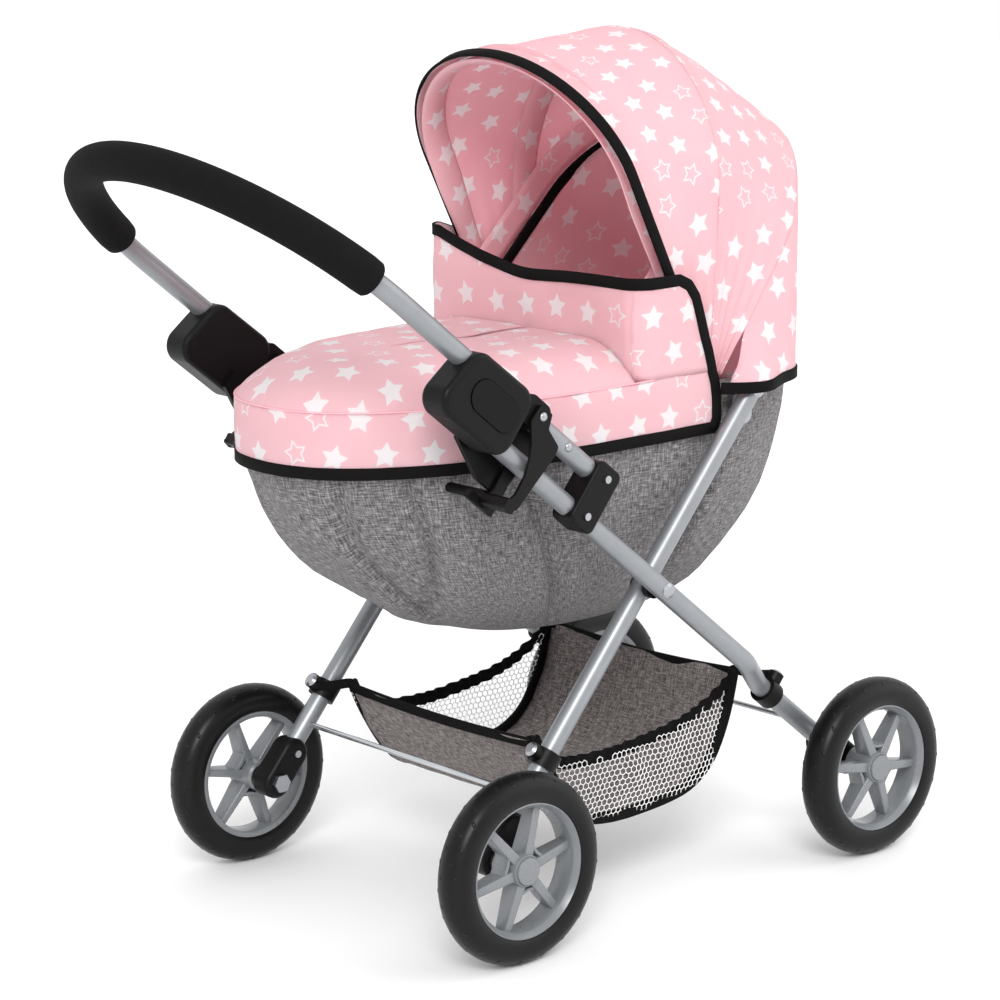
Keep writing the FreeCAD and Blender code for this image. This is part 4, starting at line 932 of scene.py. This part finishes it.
class PRAM_OT_basket(bpy.types.Operator):
    """Sews the basket: trough, side nets, elastics, tapes and straps"""
    bl_idname = "pram.basket"
    bl_label = "Basket"

    def execute(self, context):
        profile = basket_profile(60)
        trough = gridded("basket_trough", [lip_row(point) for point in profile])
        rumple(trough, lambda p: 2.2 * ripple(p, 55, 21) + 0.7 * ripple(p, 20, 22))
        sewn(trough, "melange_basket", None, ["basket"],
             offset=0.0)
        squashed(trough)
        for lip, point in (("rear", profile[0]), ("front", profile[-1])):
            squashed(binding("basket_lip_" + lip, lip_row(point, 0.5), Vector((0, 0, -1)),
                             section=tape_section(7)))
        for word, side in (("right", -1), ("left", 1)):
            edge = [Vector((p.x, side * (BASKET_HALF + 1.4), p.z)) for p in profile]
            squashed(binding("basket_tape_" + word, edge, [self.inward(p) for p in profile],
                             section=tape_section(7.5, 4.6, 1.6)))
            self.net(word, side, profile)
            self.elastic(word, side)
            self.straps(word, side)
        return {"FINISHED"}

    def elastic(self, word, side):
        """The gathered elastic along the top of a side net."""
        half_width = 5.4
        rows = []
        for row in range(7):
            width = -half_width + row * 1.8
            line = []
            for k, point in enumerate(bend(ELASTIC, 90)):
                wave = math.sin(k * 1.35 + 0.9 * math.sin(k * 0.37))
                gather = 2.3 * wave * (abs(width) / half_width) ** 0.6
                line.append(Vector((point.x, side * (BASKET_HALF + 1.2 + gather), point.z + width)))
            rows.append(line)
        piece = gridded("basket_elastic_" + word, rows)
        thick(piece, 0.0022, 0.0)
        modified(piece, "SUBSURF", levels=1, render_levels=1)
        finished(piece, "elastic_braid", None)
        squashed(piece)

    def straps(self, word, side):
        """A strap from each top corner of the basket to the clip on its leg."""
        rear_clip = Vector((PIVOT.x - REAR_CLIP * math.cos(REAR) - CLIP_OFF * math.sin(REAR),
                            side * CLIP_HALF,
                            PIVOT.z - REAR_CLIP * math.sin(REAR) + CLIP_OFF * math.cos(REAR)))
        front_clip = Vector((PIVOT.x + FRONT_CLIP * math.cos(PUSH) + CLIP_OFF * math.sin(PUSH),
                             side * CLIP_HALF,
                             PIVOT.z - FRONT_CLIP * math.sin(PUSH) + CLIP_OFF * math.cos(PUSH)))
        flat_tape = [(a - 4, b) for a, b in tape_section(8, 2.4, 0)]
        for name, x, z, clip, body in (("rear", 66, 149, rear_clip, "rear_frame"),
                                       ("front", 289, 164, front_clip, "push_frame")):
            corner = Vector((x, side * BASKET_HALF, z))
            path = bend([corner + Vector((0, -side * 6, -2)), corner + Vector((0, side * 2, 1)),
                         corner.lerp(clip, 0.55) + Vector((0, 0, -1.5)), clip], 16)
            binding("basket_strap_%s_%s" % (name, word), path, Vector((0.3, 0, 1)), body, flat_tape)

    def inward(self, point):
        """Towards the inside of the basket from its side edge."""
        return (Vector((178, 0, 175)) - point).normalized()

    def net(self, word, side, profile):
        """Hexagonal netting between the elastic and the curved edge."""
        cell = sizes().net_cell * 1000
        net = bmesh.new()
        start, low = 66, min(p.z for p in profile)
        length, height = 240, 110
        radius = cell / math.sqrt(3)
        columns, rows = int(length / cell), int(height / (1.5 * radius))
        outline = [(p.x, p.z) for p in profile] + [(p.x, p.z) for p in reversed(bend(ELASTIC, 60))]
        known = {}

        def corner(x, z):
            key = (round(x * 10), round(z * 10))
            if key not in known:
                reach = max(0, 1 - abs((x - 178) / 120) ** 2) * max(0, 1 - abs((z - 105) / 48) ** 2)
                loose = (7 + 4 * ripple((x, 0, z), 26, 31)) * reach - 0.2
                known[key] = net.verts.new(at(x, side * (BASKET_HALF + max(loose, -1)), z))
            return known[key]

        for row in range(rows):
            for column in range(columns):
                x = start + (column + 0.5 * (row % 2)) * cell
                z = low + row * 1.5 * radius
                if not self.inside(x, z, outline):
                    continue
                ring = [corner(x + radius * math.sin(k * math.pi / 3), z + radius * math.cos(k * math.pi / 3))
                        for k in range(6)]
                net.faces.new(ring if side > 0 else ring[::-1])
        mesh = bpy.data.meshes.new("basket_net_" + word)
        net.to_mesh(mesh)
        net.free()
        piece = placed("basket_net_" + word, mesh)
        modified(piece, "WIREFRAME", thickness=0.00085, use_even_offset=False, use_boundary=True)
        finished(piece, "net_yarn", None)
        squashed(piece)

    def inside(self, x, z, outline):
        """Whether a place of the side view is within an outline, and clear of its edge."""
        crossings, gap, clear = 0, math.inf, 2.2
        for (x1, z1), (x2, z2) in zip(outline, outline[1:] + outline[:1]):
            gap = min(gap, math.hypot(x - x1, z - z1))
            if (z1 > z) != (z2 > z) and x < x1 + (z - z1) * (x2 - x1) / (z2 - z1):
                crossings += 1
        return crossings % 2 == 1 and gap > clear


# ---------------------------------------------------------------- grip, wheels and hardware

class PRAM_OT_grip(bpy.types.Operator):
    """Moulds the foam grip round the handle's bow"""
    bl_idname = "pram.grip"
    bl_label = "Foam grip"

    def execute(self, context):
        bow = node_box("handle_tube")[1].y - TUBE_RADIUS
        up_handle = -DOWN_PUSH
        # From the pivot to the bow's top, up off the legs' axes, and bare at each end of the bow.
        reach, lift, bare = 515, 33, 32
        centre = Vector((PIVOT.x, 0, PIVOT.z)) + OFF_PUSH * lift + up_handle * (reach - bow)
        start = math.asin(bare / bow)
        last, sides = 120, 32
        path = []
        for k in range(last + 1):
            angle = start + (math.pi - 2 * start) * k / last
            path.append(centre + up_handle * bow * math.sin(angle) + Vector((0, -bow * math.cos(angle), 0)))
        radius = sizes().foam * 1000
        shoulder = ((0, 0.66), (0.9, 0.86), (2.6, 0.96))       # from the end, and share of the radius
        rows = []
        for k, point in enumerate(path):
            edge = min(k, last - k)
            size = radius
            tangent = (path[min(k + 1, last)] - path[max(k - 1, 0)]).normalized()
            side = tangent.cross(OFF_PUSH)
            if edge < len(shoulder):
                away, share = shoulder[edge]
                size = radius * share
                point = path[0] + tangent * away if k == edge else path[last] - tangent * away
            rows.append([point + OFF_PUSH * size * math.cos(a) + side * size * math.sin(a)
                         for a in [2 * math.pi * n / sides for n in range(sides)]])
        ends = []
        for ring in (rows[0], rows[-1]):
            hub = sum(ring, Vector()) / sides
            share = (TUBE_RADIUS + 0.05) / (radius * shoulder[0][1])
            ends.append([hub + (p - hub) * share for p in ring])
        rows = [ends[0]] + rows + [ends[1]]
        piece = gridded("foam_sleeve", rows, around=True)
        finished(piece, "eva_foam", "handle", ["foam_grip"])
        return {"FINISHED"}


class PRAM_OT_wheels(bpy.types.Operator):
    """Moulds one wheel and copies it to the four axles"""
    bl_idname = "pram.wheels"
    bl_label = "Wheels"

    def execute(self, context):
        models = (("wheel_rim", self.rim(), "wheel_abs", "wheel_plastic"),
                  ("wheel_tyre", self.tyre(), "soft_tyre", "tyre"),
                  ("hub_cap", self.cap(), "wheel_abs", "wheel_plastic"))
        for place in ("front_right", "front_left", "rear_right", "rear_left"):
            axle = at(*joint_place("wheel_%s_roll" % place))
            facing = Matrix.Rotation(math.pi if place.endswith("right") else 0.0, 4, "Z")
            rolled = Matrix.Rotation(0.2 if place.startswith("rear") else 0.9, 4, "Y")
            seat = Matrix.Translation(axle) @ facing @ rolled
            for kind, model, finish, slot in models:
                piece = placed("%s_%s_look" % (kind, place), model.data.copy())
                piece.data.transform(seat)
                finished(piece, finish, "wheel_" + place, ["%s_%s" % (kind, place)])
        for kind, model, finish, slot in models:
            bpy.data.objects.remove(model)
        return {"FINISHED"}

    def rim(self):
        """A channelled barrel, a hub and dished box spokes with webs at every other gap."""
        barrel = turned("barrel", [(53.4, -12), (53.4, 11.2), (53.0, 12.2), (52.2, 12.5), (49.2, 8.6),
                                   (48.4, 7), (48.2, 0), (48.2, -9), (49, -11.4), (50, -12)])
        hub = turned("hub", [(4.1, -18.4), (10.5, -18.4), (12.2, -17), (12.8, -6), (13.4, 2), (13.0, 8.6),
                             (12.2, 10.2), (11.4, 10.4), (11.4, 9.2), (4.1, 9.2)])
        parts = [barrel, hub]
        count = sizes().spokes
        for number in range(count):
            angle = 2 * math.pi * number / count
            parts.append(self.spoke(angle))
            if number % 2:
                parts.append(self.web(angle, 2 * math.pi / count))
        return joined(parts, "rim_model")

    def spoke(self, angle):
        """A box from the hub to the barrel: thinner outwards, and narrower on its inner face."""
        deselect()
        bpy.ops.mesh.primitive_cube_add(size=1, location=(0, 0, 0))
        piece = bpy.context.object
        for vertex in piece.data.vertices:
            reach, width, outer, inner = (49.7, 3.4, 4.6, -7.5) if vertex.co.x > 0 else (9.5, 4.3, 8.6, -9.5)
            width *= 1 if vertex.co.y > 0 else 0.82
            face = outer if vertex.co.y > 0 else inner
            vertex.co = (reach / 1000, face / 1000, math.copysign(width, vertex.co.z) / 1000)
        bpy.ops.object.mode_set(mode="EDIT")
        bpy.ops.mesh.select_all(action="SELECT")
        bpy.ops.mesh.bevel(offset=0.0011, segments=3, affect="EDGES")
        bpy.ops.mesh.normals_make_consistent(inside=False)
        bpy.ops.object.mode_set(mode="OBJECT")
        bpy.ops.object.shade_smooth_by_angle(angle=math.radians(50))
        piece.data.transform(Matrix.Rotation(angle, 4, "Y"))
        return piece

    def web(self, angle, gap):
        """The curved wall that joins two spokes beside the hub."""
        middle = 6
        rows = []
        for y, reach in ((-9, 15.5), (5.5, 15.5), (6.6, 16.2), (6.6, 18.4), (5.5, 19), (-8, 19), (-9, 18.2)):
            line = []
            for k in range(2 * middle + 1):
                turn = angle + gap * k / (2 * middle)
                dip = reach + 4.5 * (abs(k - middle) / middle) ** 2
                line.append(Vector((dip * math.cos(turn), y, -dip * math.sin(turn))))
            rows.append(line)
        rows.append(rows[0])
        mesh = bpy.data.meshes.new("web")
        count = len(rows[0])
        mesh.from_pydata([p / 1000 for row in rows for p in row], [],
                         [(i * count + j, i * count + j + 1, (i + 1) * count + j + 1, (i + 1) * count + j)
                          for i in range(len(rows) - 1) for j in range(count - 1)])
        return closed_up(placed("web", mesh), 45)

    def tyre(self):
        """A soft tyre with two rows of small oval bumps on its shoulders."""
        profile = [(53.5, -12.4), (55, -13.6), (60, -14), (64, -14), (68.5, -12.6), (72, -9.8), (74.2, -5.4),
                   (75, 0), (74.2, 5.4), (72, 9.8), (68.5, 12.6), (64, 14), (60, 14), (55.4, 13.6),
                   (54.2, 12.9), (53.5, 12.4)]
        parts = [turned("tyre_body", profile, 96)]
        deselect()
        bpy.ops.mesh.primitive_uv_sphere_add(segments=10, ring_count=6, radius=0.001)
        bump = bpy.context.object
        bump.data.transform(Matrix.Diagonal((0.75, 1.6, 2.7, 1)))
        bump.data.shade_smooth()
        count = 20
        for number in range(count):
            for row, reach, side, tip in ((0, 73.75, -4.8, -0.25), (1, 73.75, 4.8, 0.25),
                                          (1, 71.3, -9.9, -0.75), (0, 71.3, 9.9, 0.75)):
                angle = 2 * math.pi * (number + 0.5 * row) / count
                copy = placed("bump", bump.data.copy())
                copy.data.transform(Matrix.Rotation(angle, 4, "Y")
                                    @ Matrix.Translation((reach / 1000, side / 1000, 0))
                                    @ Matrix.Rotation(tip, 4, "Z") @ Matrix.Rotation(0.5, 4, "X"))
                parts.append(copy)
        bpy.data.objects.remove(bump)
        return joined(parts, "tyre_model")

    def cap(self):
        """A shallow dome that closes the hub."""
        return turned("cap_model", [(0.02, 9.6), (11.1, 9.6), (11.1, 11.6), (10.5, 12.4), (6, 12.9),
                                    (0.02, 13.0)])


FINISHES = {
    "silver_paint": ("front_leg_right", "front_leg_left", "rear_leg_right", "rear_leg_left", "handle_tube"),
    "moulded_abs": ("adjuster_block_right", "adjuster_block_left", "slide_bracket_right",
                    "slide_bracket_left", "fold_lever_right", "fold_lever_left", "front_foot_right",
                    "front_foot_left", "rear_foot_right", "rear_foot_left", "front_basket_clips",
                    "rear_basket_clips", "scissor_spacers", "catch_hooks", "catch_pegs"),
    "smooth_abs": ("adjuster_button_right", "adjuster_button_left"),
    "zinc_plate": ("bracket_rivets", "scissor_rivets", "tub_pivot_rivets",
                   "hinge_plates", "front_leg_screws", "rear_leg_screws", "front_axle_bolts",
                   "rear_axle_bolts", "hood_pivot_rivets"),
    "bright_wire": ("front_tie_rod", "rear_tie_rod", "rim_wire", "hood_bow_front", "hood_bow_middle",
                    "hood_bow_rear"),
    "board_card": ("base_board",),
}


class PRAM_OT_hardware(bpy.types.Operator):
    """Finishes the tubes, mouldings and fasteners of the frame"""
    bl_idname = "pram.hardware"
    bl_label = "Hardware"

    def execute(self, context):
        for finish, nodes in FINISHES.items():
            for name in nodes:
                node = frame["nodes"][name]
                node.data.materials.clear()
                node.data.materials.append(bpy.data.materials[finish])
        self.rivets()
        return {"FINISHED"}

    def rivets(self):
        """Domed rivets: one through each lever's ears, one through each side of the handle tube."""
        dome = [(0.02, -0.6), (3.6, -0.6), (3.6, 0.3), (2.9, 1.2), (1.6, 1.8), (0.02, 2.0)]
        for name, reach, lift, out, body in (("lever_rivet", -203.6, 35.7, 173, "push_frame"),
                                             ("tube_rivet", -162, 33.4, 166.6, "handle")):
            for word, side in (("right", -1), ("left", 1)):
                place = PIVOT + DOWN_PUSH * reach + OFF_PUSH * lift
                place = at(place.x, side * out, place.z)
                piece = turned("%s_%s" % (name, word), dome, 20)
                turn = Matrix.Rotation(math.pi if side < 0 else 0, 4, "Z")
                piece.data.transform(Matrix.Translation(place) @ turn)
                finished(piece, "zinc_plate", body)


class PRAM_OT_materials(bpy.types.Operator):
    """Mixes the finishes"""
    bl_idname = "pram.materials"
    bl_label = "Materials"

    def execute(self, context):
        make_materials()
        return {"FINISHED"}


# ---------------------------------------------------------------- stage

class PRAM_OT_stage(bpy.types.Operator):
    """Lays the floor and sets the lamps and the camera"""
    bl_idname = "pram.stage"
    bl_label = "Stage"

    def execute(self, context):
        deselect()
        bpy.ops.mesh.primitive_plane_add(size=14)
        floor = bpy.context.object
        floor.name = "studio_floor"
        shader = new_material("studio_floor")[1]
        shader.inputs["Base Color"].default_value = (0.93, 0.93, 0.935, 1)
        shader.inputs["Roughness"].default_value = 0.6
        floor.data.materials.append(bpy.data.materials["studio_floor"])
        self.world()
        for name, turn, strength, width in (("key", (52, 6, -46), 1.8, 24), ("fill", (58, 0, 48), 0.75, 60)):
            bpy.ops.object.light_add(type="SUN", rotation=[math.radians(a) for a in turn])
            lamp = bpy.context.object
            lamp.name = name
            lamp.data.energy = strength
            lamp.data.angle = math.radians(width)
        self.camera()
        bpy.context.scene.view_settings.view_transform = "Standard"
        return {"FINISHED"}

    def world(self):
        """Plain soft light; the eye and reflections see a white studio."""
        world = bpy.data.worlds.new("studio")
        bpy.context.scene.world = world
        world.use_nodes = True
        tree = world.node_tree
        path = add(tree, "ShaderNodeLightPath")
        mirrored = maths(tree, "MAXIMUM", path.outputs["Is Glossy Ray"], path.outputs["Is Transmission Ray"])
        seen = maths(tree, "MAXIMUM", path.outputs["Is Camera Ray"], mirrored)
        strength = add(tree, "ShaderNodeMapRange", {"To Min": 0.98, "To Max": 1.0}, {"Value": seen})
        tree.links.new(strength.outputs[0], tree.nodes["Background"].inputs["Strength"])
        tree.nodes["Background"].inputs["Color"].default_value = (1, 1, 1, 1)

    def camera(self):
        """A long lens on the pram's right, behind its handle."""
        azimuth, elevation, roll = (math.radians(a) for a in (-41.016, 12.319, -0.615))
        back = Vector((math.sin(azimuth) * math.cos(elevation), -math.cos(azimuth) * math.cos(elevation),
                       math.sin(elevation)))
        right = (-back).cross(Vector((0, 0, 1))).normalized()
        up = right.cross(-back)
        level = right * math.cos(roll) + up * math.sin(roll)
        upright = up * math.cos(roll) - right * math.sin(roll)
        data = bpy.data.cameras.new("camera")
        data.sensor_width = 36
        data.lens = 118.34
        data.clip_end = 50
        camera = placed("camera", data)
        turn = Matrix((level, upright, back)).transposed().to_4x4()
        camera.matrix_world = Matrix.Translation(at(-1564.8, -1952.6, 878.2)) @ turn
        bpy.context.scene.camera = camera


class PRAM_PT_panel(bpy.types.Panel):
    """Lists the pram's steps"""
    bl_label = "Doll Pram"
    bl_space_type = "VIEW_3D"
    bl_region_type = "UI"
    bl_category = "Doll Pram"

    def draw(self, context):
        for group in (context.scene.pram_sizes, context.scene.pram_colours):
            for name in group.__annotations__:
                self.layout.prop(group, name)
        for step in STEPS:
            self.layout.operator(step.bl_idname)


STEPS = (PRAM_OT_materials, PRAM_OT_hardware, PRAM_OT_tub, PRAM_OT_apron, PRAM_OT_flap, PRAM_OT_hood,
         PRAM_OT_basket, PRAM_OT_grip, PRAM_OT_wheels, PRAM_OT_stage)
CLASSES = (PramSizes, PramColours) + STEPS + (PRAM_PT_panel,)


def register():
    for item in CLASSES:
        bpy.utils.register_class(item)
    bpy.types.Scene.pram_sizes = bpy.props.PointerProperty(type=PramSizes)
    bpy.types.Scene.pram_colours = bpy.props.PointerProperty(type=PramColours)


def unregister():
    del bpy.types.Scene.pram_colours
    del bpy.types.Scene.pram_sizes
    for item in reversed(CLASSES):
        bpy.utils.unregister_class(item)


def main():
    register()
    for step in STEPS:
        group, name = step.bl_idname.split(".")
        getattr(getattr(bpy.ops, group), name)()


if __name__ == "__main__":
    main()
